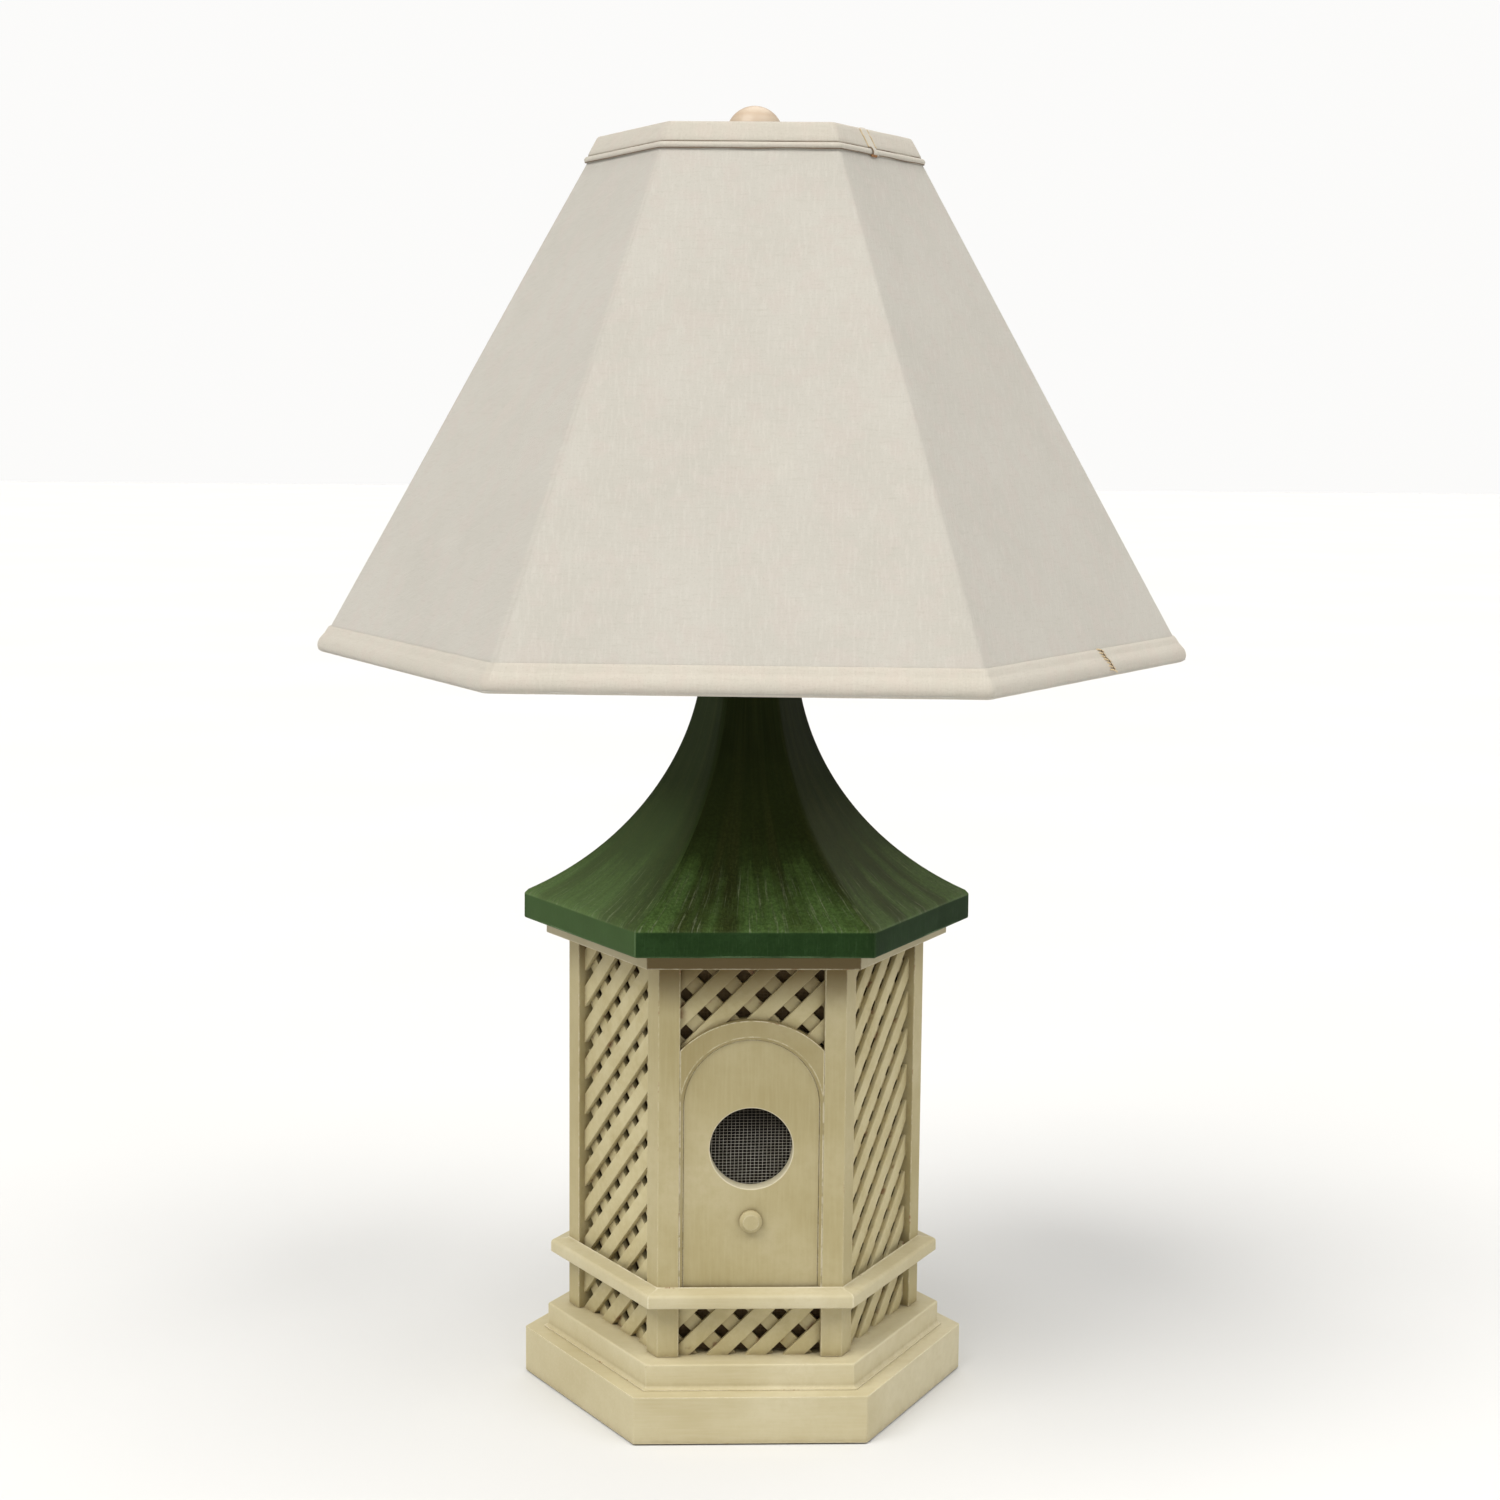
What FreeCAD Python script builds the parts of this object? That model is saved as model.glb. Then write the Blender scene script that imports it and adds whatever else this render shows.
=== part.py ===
import FreeCAD, Part
import math
import os
import re
import Sketcher

# A table lamp: a hexagonal linen shade on a wooden gazebo with lattice walls, an arched door and a
# pagoda roof. Millimetres, +Z up. The origin is the middle of the base at the surface that it stands on,
# and the door faces -Y.
# Every hexagon has two corners on the X axis, and its radius is the one through its corners.

SIZES = [
    # plinth
    ("felt_radius", 117, "felt pad, corner radius"),
    ("felt_thickness", 2, "felt pad"),
    ("felt_proud", 0.8, "felt below the lower step"),
    ("slack", 0.2, "room round the felt and the screws' heads"),
    ("over", 1, "how far a block that cuts reaches past a face"),
    ("step_radius", 125, "lower step"),
    ("step_top", 26.7, "lower step"),
    ("ledge_radius", 112, "upper step"),
    ("plinth_top", 40.6, "upper step"),
    ("ledge_foot_radius", 114.4, "upper step, the fillet at its foot"),
    ("ledge_foot_top", 29, "upper step, the fillet at its foot"),
    ("well_radius", 22, "well for the nut under the lower step"),
    ("well_top", 20, "well for the nut"),
    ("cord_height", 13, "cord bore at the back"),
    ("bush_radius", 6, "cord bush, body"),
    ("bush_length", 14, "cord bush, body"),
    ("bush_collar_radius", 9, "cord bush, collar"),
    ("bush_collar_thickness", 2, "cord bush, collar"),
    ("cord_hole_radius", 3.5, "cord bush, hole"),
    ("screw_circle", 80, "plinth screws, distance from the middle"),
    ("screw_radius", 2, "plinth screws, shank"),
    ("screw_head_radius", 4, "plinth screws, head"),
    ("screw_head_thickness", 2.4, "plinth screws, head"),
    ("screw_tip", 36, "plinth screws, top end"),
    # gazebo
    ("post_radius", 100, "outer corner of the posts"),
    ("post_face", 11.6, "width of a post on each wall"),
    ("post_depth", 10, "thickness of a post from the wall's face"),
    ("post_top", 256.5, "posts"),
    ("slat_width", 8.3, "lattice"),
    ("slat_pitch", 20.7, "lattice, from slat to slat up the wall"),
    ("slat_thickness", 2.8, "lattice"),
    ("slat_setback", 3.6, "lattice, behind the posts' faces"),
    ("rising_slat", 244.3, "a rising slat crosses the wall's middle here"),
    ("falling_slat", 213.7, "a falling slat crosses the wall's middle here"),
    ("right_drop", 2.6, "lattice to the right of the door, lower than the others"),
    ("left_drop", 5.2, "lattice to the left of the door, lower than the others"),
    ("rail_radius", 110.3, "waist rail"),
    ("rail_bottom", 70.7, "waist rail"),
    ("rail_top", 78.7, "waist rail"),
    ("cornice_radius", 112.8, "cornice board"),
    ("cornice_top", 264.9, "cornice board"),
    # door
    ("door_half", 36.5, "door opening, half of its width"),
    ("door_spring", 179.3, "height where the door's arch begins"),
    ("door_bevel", 1.8, "bevel round the opening"),
    ("door_recess", 2.2, "door behind the posts' faces"),
    ("door_back", 12, "back of the door behind the posts' faces"),
    ("crown_radius", 53.2, "outer edge of the door's surround"),
    ("crown_middle", 173.3, "height of that edge's centre"),
    ("window_radius", 22.3, "round window"),
    ("window_height", 155.9, "round window"),
    ("screen_bottom", 42, "insect screen"),
    ("screen_top", 255, "insect screen"),
    ("screen_thickness", 0.5, "insect screen"),
    ("screen_margin", 0.5, "insect screen, room at each side"),
    ("lining_radius", 85.4, "dark lining inside the walls, corner radius"),
    ("lining_thickness", 1, "dark lining"),
    ("knob_radius", 6.1, "door knob"),
    ("knob_height", 116.3, "door knob"),
    ("knob_thickness", 4.5, "door knob"),
    ("knob_rounding", 1.5, "door knob, its edge"),
    ("dowel_radius", 3, "door knob, dowel"),
    ("dowel_length", 6, "door knob, dowel"),
    # roof
    ("eave_radius", 125.2, "roof at the eaves"),
    ("eave_top", 279.5, "roof, top of the upright edge"),
    ("eave_bevel", 1.7, "roof, bevel above the upright edge"),
    ("roof_neck", 22.8, "roof, half of its width across the flats at the top"),
    ("roof_sweep", 156, "roof, radius of the hollow curve"),
    ("roof_top", 416, "roof"),
    ("cavity_radius", 76, "hollow inside the roof"),
    ("cavity_neck", 26, "hollow inside the roof, at its top"),
    ("cavity_top", 320, "hollow inside the roof"),
    # stem
    ("pipe_radius", 5.1, "lamp pipe"),
    ("pipe_bore", 3.5, "lamp pipe"),
    ("pipe_bottom", 10, "lamp pipe"),
    ("pipe_top", 456, "lamp pipe"),
    ("slip", 0.05, "clearance of a piece round the pipe or a pin"),
    ("washer_radius", 14, "washer under the lower step"),
    ("washer_thickness", 1, "washer"),
    ("nut_radius", 9, "nut, corner radius"),
    ("nut_thickness", 4.5, "nut"),
    ("cap_radius", 22, "brass cap on the roof"),
    ("cap_rim", 1.5, "brass cap, height of its rim"),
    ("cap_shoulder", 13, "brass cap, radius at the top"),
    ("cap_top", 421, "brass cap"),
    ("neck_radius", 8, "neck tube"),
    ("saddle_bottom", 447, "harp saddle"),
    ("saddle_thickness", 1.5, "harp saddle"),
    ("saddle_width", 12, "harp saddle"),
    ("saddle_end", 3, "harp saddle beyond the legs of the harp"),
    ("harp_foot", 28, "harp, distance of a leg from the middle"),
    ("harp_start", 452, "harp, lower end of a leg"),
    ("harp_straight", 484, "harp, upper end of the upright part of a leg"),
    ("harp_wire", 1.6, "harp, radius of the wire"),
    ("harp_lean", 10, "harp, degrees that a leg leans out"),
    ("harp_bend", 30, "harp, bend above the upright part"),
    ("harp_shoulder", 45, "harp, bend at the top"),
    ("harp_top", 672, "harp, middle of the wire at the top"),
    ("sleeve_radius", 3.2, "harp sleeve"),
    ("sleeve_length", 12, "harp sleeve"),
    ("sleeve_slip", 0.08, "harp sleeve, clearance round the wire"),
    ("seat_radius", 8, "seat of the shade on the harp"),
    ("seat_thickness", 3, "seat of the shade"),
    ("seat_top", 676, "seat of the shade"),
    ("stud_radius", 3, "stud on the harp"),
    ("stud_top", 689.5, "stud on the harp"),
    # socket and bulb
    ("socket_radius", 16.5, "socket shell"),
    ("socket_wall", 0.9, "socket shell"),
    ("socket_bottom", 462, "socket shell"),
    ("socket_top", 510, "socket shell"),
    ("cup_wall", 1, "socket cap"),
    ("cup_slip", 0.1, "socket cap, room round the shell"),
    ("cup_top", 468, "socket cap"),
    ("cup_floor", 461, "socket cap, inside where the wall begins"),
    ("cup_shoulder", 460, "socket cap, outside where the wall begins"),
    ("collar_radius", 9, "socket cap, collar"),
    ("collar_inner", 8.5, "socket cap, inside at the collar"),
    ("collar_height", 4.5, "socket cap, collar"),
    ("block_top", 479, "phenolic block in the socket"),
    ("screw_shell_radius", 13.5, "screw shell in the socket"),
    ("screw_shell_top", 503, "screw shell"),
    ("bulb_lift", 0.3, "bulb above the phenolic block"),
    ("contact_radius", 4.8, "bulb, contact"),
    ("contact_height", 1.8, "bulb, top of the contact above the block"),
    ("base_taper", 5.5, "bulb, where the screw base is full width, above the block"),
    ("bulb_base_radius", 13, "bulb, screw base"),
    ("bulb_base_top", 505, "bulb, screw base"),
    ("bulb_radius", 30, "bulb"),
    ("bulb_middle", 558, "bulb, centre of the globe"),
    ("bulb_wall", 0.8, "bulb, glass"),
    ("key_height", 473, "switch key, its axis"),
    ("key_radius", 1.6, "switch key, shaft"),
    ("key_slot_slack", 0.6, "switch key, room in the shell"),
    ("key_end", 4, "switch key, inner end of the shaft"),
    ("key_bore_end", 3.5, "switch key, end of its bore"),
    ("key_reach", 31, "switch key, outer end"),
    ("key_width", 12, "switch key, paddle"),
    ("key_thickness", 3, "switch key, paddle"),
    # shade
    ("shade_yaw", -4, "degrees that the shade is turned on its seat"),
    ("shade_bottom", 414, "shade"),
    ("shade_top", 693.7, "shade"),
    ("shade_foot", 209.3, "shade at the bottom, half of its width across the flats"),
    ("shade_head", 72.7, "shade at the top, half of its width across the flats"),
    ("linen", 1, "shade, thickness"),
    ("hem", 13, "bottom band"),
    ("hem_thickness", 1.8, "bottom band"),
    ("band", 12.2, "top band"),
    ("band_thickness", 1.2, "top band"),
    ("piping", 3, "piping under the top band"),
    ("piping_thickness", 2, "piping"),
    ("frame_wire", 1.5, "shade frame, radius of the wire"),
    ("frame_gap", 0.2, "shade frame, between the wire and the linen"),
    ("ring_low", 3, "lower wire ring above the shade's bottom"),
    ("ring_high", 3.5, "upper wire ring below the shade's top"),
    ("rib_gap", 2.5, "height from a ring to the end of a rib"),
    ("rib_inset", 1, "ribs inside the corners of the rings"),
    ("arm_gap", 0.6, "from the spider's washer to an arm"),
    ("arm_inset", 4.6, "from the corner of the upper ring to an arm"),
    ("spider_radius", 12, "washer of the spider"),
    ("spider_thickness", 1.4, "washer of the spider"),
    ("play", 0.1, "gap under the spider's washer and the finial"),
    # finial
    ("ball_radius", 15.6, "finial"),
    ("ball_middle", 695.4, "finial"),
    ("finial_foot", 7, "finial, radius of its foot"),
    ("finial_bore_top", 690, "finial, end of its bore"),
]

doc = FreeCAD.newDocument("GazeboLamp")
sheet = doc.addObject("Spreadsheet::Sheet", "Sizes")
for row, (alias, size, note) in enumerate(SIZES, start=1):
    sheet.set(f"A{row}", alias)
    sheet.set(f"B{row}", str(size))
    sheet.setAlias(f"B{row}", alias)
    sheet.set(f"C{row}", note)
doc.recompute()

WORDS = re.compile(r"\b(" + "|".join(alias for alias, _, _ in SIZES) + r")\b")
ORIGIN = FreeCAD.Vector(0, 0, 0)
X_AXIS = FreeCAD.Vector(1, 0, 0)
Y_AXIS = FreeCAD.Vector(0, 1, 0)
Z_AXIS = FreeCAD.Vector(0, 0, 1)
SIDES = range(6)
WALL = "(post_radius * cos(30))"  # distance of a wall's outer face from the axis
WALL_HALF = "(post_radius / 2 - post_face)"  # half of the opening between two posts
START, END = 1, 2  # Sketcher's numbers for the two ends of a line or an arc
TOUCH = 0.01  # two points nearer than this are the same place
nodes = {}


# ---- helpers ----------------------------------------------------------------


def in_sheet(formula):
    """The formula with each of the sheet's words written as a reference to its cell."""
    return WORDS.sub(r"Sizes.\g<0>", formula)


def bind(thing, name, formula):
    """Bind a property of thing to a formula of the sheet's words."""
    thing.setExpression(name, in_sheet(formula))


def value(formula):
    """What a formula of the sheet's words comes to now."""
    return float(sheet.evalExpression(in_sheet(formula)))


def keep(node, thing):
    """Name thing as the sub-part node."""
    thing.Label = node
    nodes[node] = thing
    return thing


def turned_about_z(degrees):
    return FreeCAD.Placement(ORIGIN, FreeCAD.Rotation(Z_AXIS, degrees))


def corner_point(corner):
    return FreeCAD.Vector(value(corner[0]), value(corner[1]), 0)


def arc_between(start, end, radius):
    """The shorter arc from start to end. A positive radius has the centre on the left of the way there."""
    half = (end - start) / 2
    left = FreeCAD.Vector(-half.y, half.x, 0).normalize()
    offset = math.sqrt(radius**2 - half.Length**2)
    centre = start + half + left * math.copysign(offset, radius)
    first, last = (start, end) if radius > 0 else (end, start)
    angles = [math.atan2(point.y - centre.y, point.x - centre.x) for point in (first, last)]
    return Part.ArcOfCircle(Part.Circle(centre, Z_AXIS, abs(radius)), *angles)


def draw(sketch, corners):
    """Draw a closed outline. A corner is (x, y), or (x, y, radius) where an arc leads on from it.

    Each corner is held by two distances from the sketch's origin, and each arc by its radius.
    """
    points = [corner_point(corner) for corner in corners]
    first_edge = sketch.GeometryCount
    ends = []
    for index, corner in enumerate(corners):
        start, end = points[index], points[(index + 1) % len(points)]
        if len(corner) == 2:
            sketch.addGeometry(Part.LineSegment(start, end), False)
            ends.append((START, END))
        else:
            radius = value(corner[2])
            edge = sketch.addGeometry(arc_between(start, end, radius), False)
            held = sketch.addConstraint(Sketcher.Constraint("Radius", edge, abs(radius)))
            bind(sketch, f"Constraints[{held}]", f"abs({corner[2]})")
            ends.append((START, END) if radius > 0 else (END, START))
    for index, corner in enumerate(corners):
        edge, after = first_edge + index, first_edge + (index + 1) % len(corners)
        join = (edge, ends[index][1], after, ends[after - first_edge][0])
        sketch.addConstraint(Sketcher.Constraint("Coincident", *join))
        for direction, formula in zip(("DistanceX", "DistanceY"), corner):
            place = (-1, 1, edge, ends[index][0], value(formula))
            held = sketch.addConstraint(Sketcher.Constraint(direction, *place))
            bind(sketch, f"Constraints[{held}]", formula)


def sketch_in(body, name, role, corners):
    """A sketch of one closed outline on the body's own plane."""
    sketch = body.newObject("Sketcher::SketchObject", name)
    plane = next(plane for plane in body.Origin.OriginFeatures if plane.Role == role)
    sketch.AttachmentSupport = [(plane, "")]
    sketch.MapMode = "FlatFace"
    draw(sketch, corners)
    return sketch


def loose_sketch(name, placement, corners):
    sketch = doc.addObject("Sketcher::SketchObject", name)
    sketch.Placement = placement
    draw(sketch, corners)
    return sketch


def turned(node, corners):
    """A piece turned on a lathe: its outline in (radius, height), spun about Z."""
    body = doc.addObject("PartDesign::Body", node)
    outline = sketch_in(body, f"{node}_outline", "XZ_Plane", corners)
    spin = body.newObject("PartDesign::Revolution", f"{node}_spin")
    spin.Profile = outline
    spin.ReferenceAxis = (outline, ["V_Axis"])
    spin.Angle = 360
    return keep(node, body)


def board(node, corners, front, back):
    """A board in the front wall: an outline in (across, height), between two depths behind its face."""
    body = doc.addObject("PartDesign::Body", node)
    outline = sketch_in(body, f"{node}_outline", "XZ_Plane", corners)
    pad = body.newObject("PartDesign::Pad", f"{node}_pad")
    pad.Profile = outline
    pad.Reversed = True
    bind(pad, "Length", f"({back}) - ({front})")
    bind(body, ".Placement.Base.y", f"{front} - {WALL}")
    return keep(node, body)


def hole_through(body, name, radius, height):
    """A round hole through a board, on the wall's middle line."""
    sketch = body.newObject("Sketcher::SketchObject", name)
    plane = next(plane for plane in body.Origin.OriginFeatures if plane.Role == "XZ_Plane")
    sketch.AttachmentSupport = [(plane, "")]
    sketch.MapMode = "FlatFace"
    middle = FreeCAD.Vector(0, value(height), 0)
    circle = sketch.addGeometry(Part.Circle(middle, Z_AXIS, value(radius)), False)
    held = sketch.addConstraint(Sketcher.Constraint("Radius", circle, value(radius)))
    bind(sketch, f"Constraints[{held}]", radius)
    sketch.addConstraint(Sketcher.Constraint("PointOnObject", circle, 3, -2))
    held = sketch.addConstraint(Sketcher.Constraint("DistanceY", -1, 1, circle, 3, value(height)))
    bind(sketch, f"Constraints[{held}]", height)
    pocket = body.newObject("PartDesign::Pocket", f"{name}_pocket")
    pocket.Profile = sketch
    pocket.Type = "ThroughAll"
    pocket.Reversed = False
    pocket.Midplane = True
    return pocket


def edges_where(feature, test):
    """The names of the feature's edges whose middle passes the test."""
    doc.recompute()
    names = []
    for number, edge in enumerate(feature.Shape.Edges, start=1):
        middle = edge.valueAt((edge.FirstParameter + edge.LastParameter) / 2)
        if test(middle):
            names.append(f"Edge{number}")
    return names


def prism(name, radius, bottom, top):
    """A hexagonal block between two heights."""
    block = doc.addObject("Part::Prism", name)
    block.Polygon = 6
    bind(block, "Circumradius", radius)
    bind(block, "Height", f"({top}) - ({bottom})")
    bind(block, ".Placement.Base.z", bottom)
    return block


def cylinder(name, radius, bottom, top):
    """An upright cylinder on the axis."""
    round_block = doc.addObject("Part::Cylinder", name)
    bind(round_block, "Radius", radius)
    bind(round_block, "Height", f"({top}) - ({bottom})")
    bind(round_block, ".Placement.Base.z", bottom)
    return round_block


def box(name, low, high):
    """A block between two corners."""
    block = doc.addObject("Part::Box", name)
    for size, place, first, last in zip(("Length", "Width", "Height"), "xyz", low, high):
        bind(block, size, f"({last}) - ({first})")
        bind(block, f".Placement.Base.{place}", first)
    return block


def cut(name, base, *tools):
    """Base with each tool cut out of it."""
    for number, tool in enumerate(tools, start=1):
        step = name if number == len(tools) else f"{name}_cut_{number}"
        result = doc.addObject("Part::Cut", step)
        result.Base = base
        result.Tool = tool
        base = result
    return base


def common(name, *pieces):
    result = doc.addObject("Part::MultiCommon", name)
    result.Shapes = list(pieces)
    return result


def fuse(name, *pieces):
    result = doc.addObject("Part::MultiFuse", name)
    result.Shapes = list(pieces)
    return result


def group(name, *pieces):
    """Separate solids kept together as one sub-part."""
    result = doc.addObject("Part::Compound", name)
    result.Links = list(pieces)
    return result


def side(name, foot, head, turn):
    """One mitred side of a hexagonal ring.

    foot and head are (inner distance, outer distance, height), the distances measured square to the side.
    """
    sections = []
    for end, (inner, outer, height) in (("foot", foot), ("head", head)):
        corners = [
            (f"-({inner}) * tan(30)", f"-({inner})"),
            (f"({inner}) * tan(30)", f"-({inner})"),
            (f"({outer}) * tan(30)", f"-({outer})"),
            (f"-({outer}) * tan(30)", f"-({outer})"),
        ]
        section = loose_sketch(f"{name}_{end}", FreeCAD.Placement(), corners)
        bind(section, ".Placement.Base.z", height)
        sections.append(section)
    loft = doc.addObject("Part::Loft", name)
    loft.Sections = sections
    loft.Solid = True
    loft.Ruled = True
    loft.Placement = turned_about_z(turn)
    return loft


def rod(name, radius, start, end, turn):
    """A straight wire from start to end, each (distance from the axis, height), turned about the axis."""
    run = f"(({end[0]}) - ({start[0]}))"
    rise = f"(({end[1]}) - ({start[1]}))"
    wire = doc.addObject("Part::Cylinder", name)
    bind(wire, "Radius", radius)
    bind(wire, "Height", f"sqrt({run}^2 + {rise}^2)")
    lean = FreeCAD.Rotation(Z_AXIS, FreeCAD.Vector(value(run), 0, value(rise)))
    spin = FreeCAD.Rotation(Z_AXIS, turn)
    foot = spin.multVec(FreeCAD.Vector(value(start[0]), 0, value(start[1])))
    wire.Placement = FreeCAD.Placement(foot, spin * lean)
    return wire


def across(name, radius, near, far, height):
    """A cylinder along Y between two distances, at a height."""
    wire = doc.addObject("Part::Cylinder", name)
    bind(wire, "Radius", radius)
    bind(wire, "Height", f"({far}) - ({near})")
    wire.Placement = FreeCAD.Placement(ORIGIN, FreeCAD.Rotation(X_AXIS, -90))
    bind(wire, ".Placement.Base.y", near)
    bind(wire, ".Placement.Base.z", height)
    return wire


# ---- plinth -----------------------------------------------------------------


def screw_places():
    """Each plinth screw's middle, spread evenly round the plinth."""
    for number, degrees in enumerate((30, 150, 270), start=1):
        yield number, FreeCAD.Rotation(Z_AXIS, degrees).multVec(X_AXIS * value("screw_circle"))


def at_screw(piece, middle):
    piece.Placement.Base.x = middle.x
    piece.Placement.Base.y = middle.y
    return piece


def make_plinth():
    """The two steps, the felt under them, the screws that join them and the bush for the cord."""
    keep("felt_pad", prism("felt_pad", "felt_radius", "0", "felt_thickness"))
    screw_holes, head_holes, ledge_holes, screws = [], [], [], []
    for number, middle in screw_places():
        head_top = "felt_thickness + screw_head_thickness"
        hole = cylinder(f"screw_hole_{number}", "screw_radius + slip", "0", "step_top + over")
        head_hole = cylinder(f"head_hole_{number}", "screw_head_radius + slack", "0", head_top)
        ledge_hole = cylinder(
            f"ledge_hole_{number}", "screw_radius + slip", "step_top - over", "screw_tip + over"
        )
        head = cylinder(f"screw_head_{number}", "screw_head_radius", "felt_thickness", head_top)
        shank = cylinder(f"screw_shank_{number}", "screw_radius", "felt_thickness", "screw_tip")
        for pieces, piece in (
            (screw_holes, hole),
            (head_holes, head_hole),
            (ledge_holes, ledge_hole),
            (screws, head),
            (screws, shank),
        ):
            pieces.append(at_screw(piece, middle))
    keep("plinth_lower", cut(
        "plinth_lower",
        prism("step_block", "step_radius", "felt_proud", "step_top"),
        prism("felt_recess", "felt_radius + slack", "0", "felt_thickness"),
        cylinder("nut_well", "well_radius", "0", "well_top"),
        cylinder("step_bore", "pipe_radius + slip", "0", "step_top + over"),
        across("cord_bore", "bush_radius + slip", "0", "step_radius", "cord_height"),
        *screw_holes,
        *head_holes,
    ))
    keep("plinth_upper", cut(
        "plinth_upper",
        fuse(
            "ledge_block",
            prism("ledge_wall", "ledge_radius", "step_top", "plinth_top"),
            prism("ledge_foot", "ledge_foot_radius", "step_top", "ledge_foot_top"),
        ),
        cylinder("ledge_bore", "pipe_radius + slip", "0", "plinth_top + over"),
        *ledge_holes,
    ))
    keep("plinth_screws", fuse("plinth_screws", *screws))
    bush = turned("cord_bush", [
        ("cord_hole_radius", "-bush_length"),
        ("bush_radius", "-bush_length"),
        ("bush_radius", "0"),
        ("bush_collar_radius", "0"),
        ("bush_collar_radius", "bush_collar_thickness"),
        ("cord_hole_radius", "bush_collar_thickness"),
    ])
    bush.Placement = FreeCAD.Placement(ORIGIN, FreeCAD.Rotation(X_AXIS, -90))
    bind(bush, ".Placement.Base.y", "step_radius * cos(30)")
    bind(bush, ".Placement.Base.z", "cord_height")


# ---- gazebo walls -----------------------------------------------------------


def make_posts():
    """Six posts, each the corner of the hexagon and a little of the wall on both of its sides."""
    along = "post_face * cos(60)"
    aside = "post_face * sin(60)"
    deep_along = f"({along} + post_depth * sin(60))"
    deep_aside = f"({aside} - post_depth * cos(60))"
    corners = [
        ("post_radius", "0"),
        (f"post_radius - {along}", aside),
        (f"post_radius - {deep_along}", deep_aside),
        (f"post_radius - {deep_along}", f"-{deep_aside}"),
        (f"post_radius - {along}", f"-{aside}"),
    ]
    for number in SIDES:
        node = f"corner_post_{number + 1}"
        body = doc.addObject("PartDesign::Body", node)
        pad = body.newObject("PartDesign::Pad", f"{node}_pad")
        pad.Profile = sketch_in(body, f"{node}_outline", "XY_Plane", corners)
        bind(pad, "Length", "post_top - plinth_top")
        body.Placement = turned_about_z(240 + 60 * number)
        bind(body, ".Placement.Base.z", "plinth_top")
        keep(node, body)


def slat_layer(name, crossing, lean, front):
    """The slats of one layer of the front wall, at a slope of lean degrees, running past its edges."""
    reach = value(f"{WALL_HALF} + 2 * slat_width")
    first = math.ceil((value(f"plinth_top - ({crossing})") - reach) / value("slat_pitch"))
    last = math.floor((value(f"post_top - ({crossing})") + reach) / value("slat_pitch"))
    slats = []
    for number, step in enumerate(range(first, last + 1), start=1):
        slat = doc.addObject("Part::Box", f"{name}_{number}")
        bind(slat, "Length", f"2 * sqrt(2) * ({WALL_HALF} + slat_width)")
        bind(slat, "Width", "slat_thickness")
        bind(slat, "Height", "slat_width")
        slope = FreeCAD.Rotation(Y_AXIS, -lean)
        crossing_height = value(f"({crossing}) + {step} * slat_pitch")
        middle = FreeCAD.Vector(0, value(f"{front} - {WALL}"), crossing_height)
        half = FreeCAD.Vector(value(f"sqrt(2) * ({WALL_HALF} + slat_width)"), 0, value("slat_width / 2"))
        slat.Placement = FreeCAD.Placement(middle - slope.multVec(half), slope)
        slats.append(slat)
    return slats


def wall_window(name, bottom, top):
    return box(name, (f"-{WALL_HALF}", f"-{WALL}", bottom), (WALL_HALF, f"post_depth - {WALL}", top))


def make_lattice():
    """Two crossed layers of slats in every wall. The door interrupts the front one."""
    slats = slat_layer("rising_slat_piece", "rising_slat", 45, "slat_setback")
    slats += slat_layer("falling_slat_piece", "falling_slat", -45, "slat_setback + slat_thickness")
    blank = fuse("lattice_blank", *slats)
    drops = {1: "right_drop", 5: "left_drop"}
    for number in SIDES[1:]:
        node = f"lattice_panel_{number + 1}"
        drop = drops.get(number, "0")
        window = wall_window(f"wall_opening_{number + 1}", f"plinth_top + {drop}", f"post_top + {drop}")
        panel = keep(node, common(node, blank, window))
        panel.Placement = turned_about_z(60 * number)
        bind(panel, ".Placement.Base.z", f"-1 * {drop}")
    above = common("lattice_above", blank, wall_window("opening_above", "door_spring", "post_top"))
    wall_back = f"post_depth - {WALL}"
    crown = across("crown_clearance", "crown_radius + slip", f"-{WALL}", wall_back, "crown_middle")
    keep("lattice_arch", cut("lattice_arch", above, crown))
    foot_window = wall_window("opening_below", "plinth_top", "rail_bottom")
    keep("lattice_foot", common("lattice_foot", blank, foot_window))


def make_rails():
    """The waist rail in six mitred lengths."""
    outer = "rail_radius * cos(30)"
    for number in SIDES:
        node = f"waist_rail_{number + 1}"
        foot = (WALL, outer, "rail_bottom")
        head = (WALL, outer, "rail_top")
        keep(node, side(node, foot, head, 60 * number))


# ---- door -------------------------------------------------------------------


def arch(half, spring, foot):
    """An outline with straight sides and a round top."""
    return [
        (half, foot),
        (half, spring, half),
        ("0", f"({spring}) + ({half})", half),
        (f"-({half})", spring),
        (f"-({half})", foot),
    ]


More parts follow.
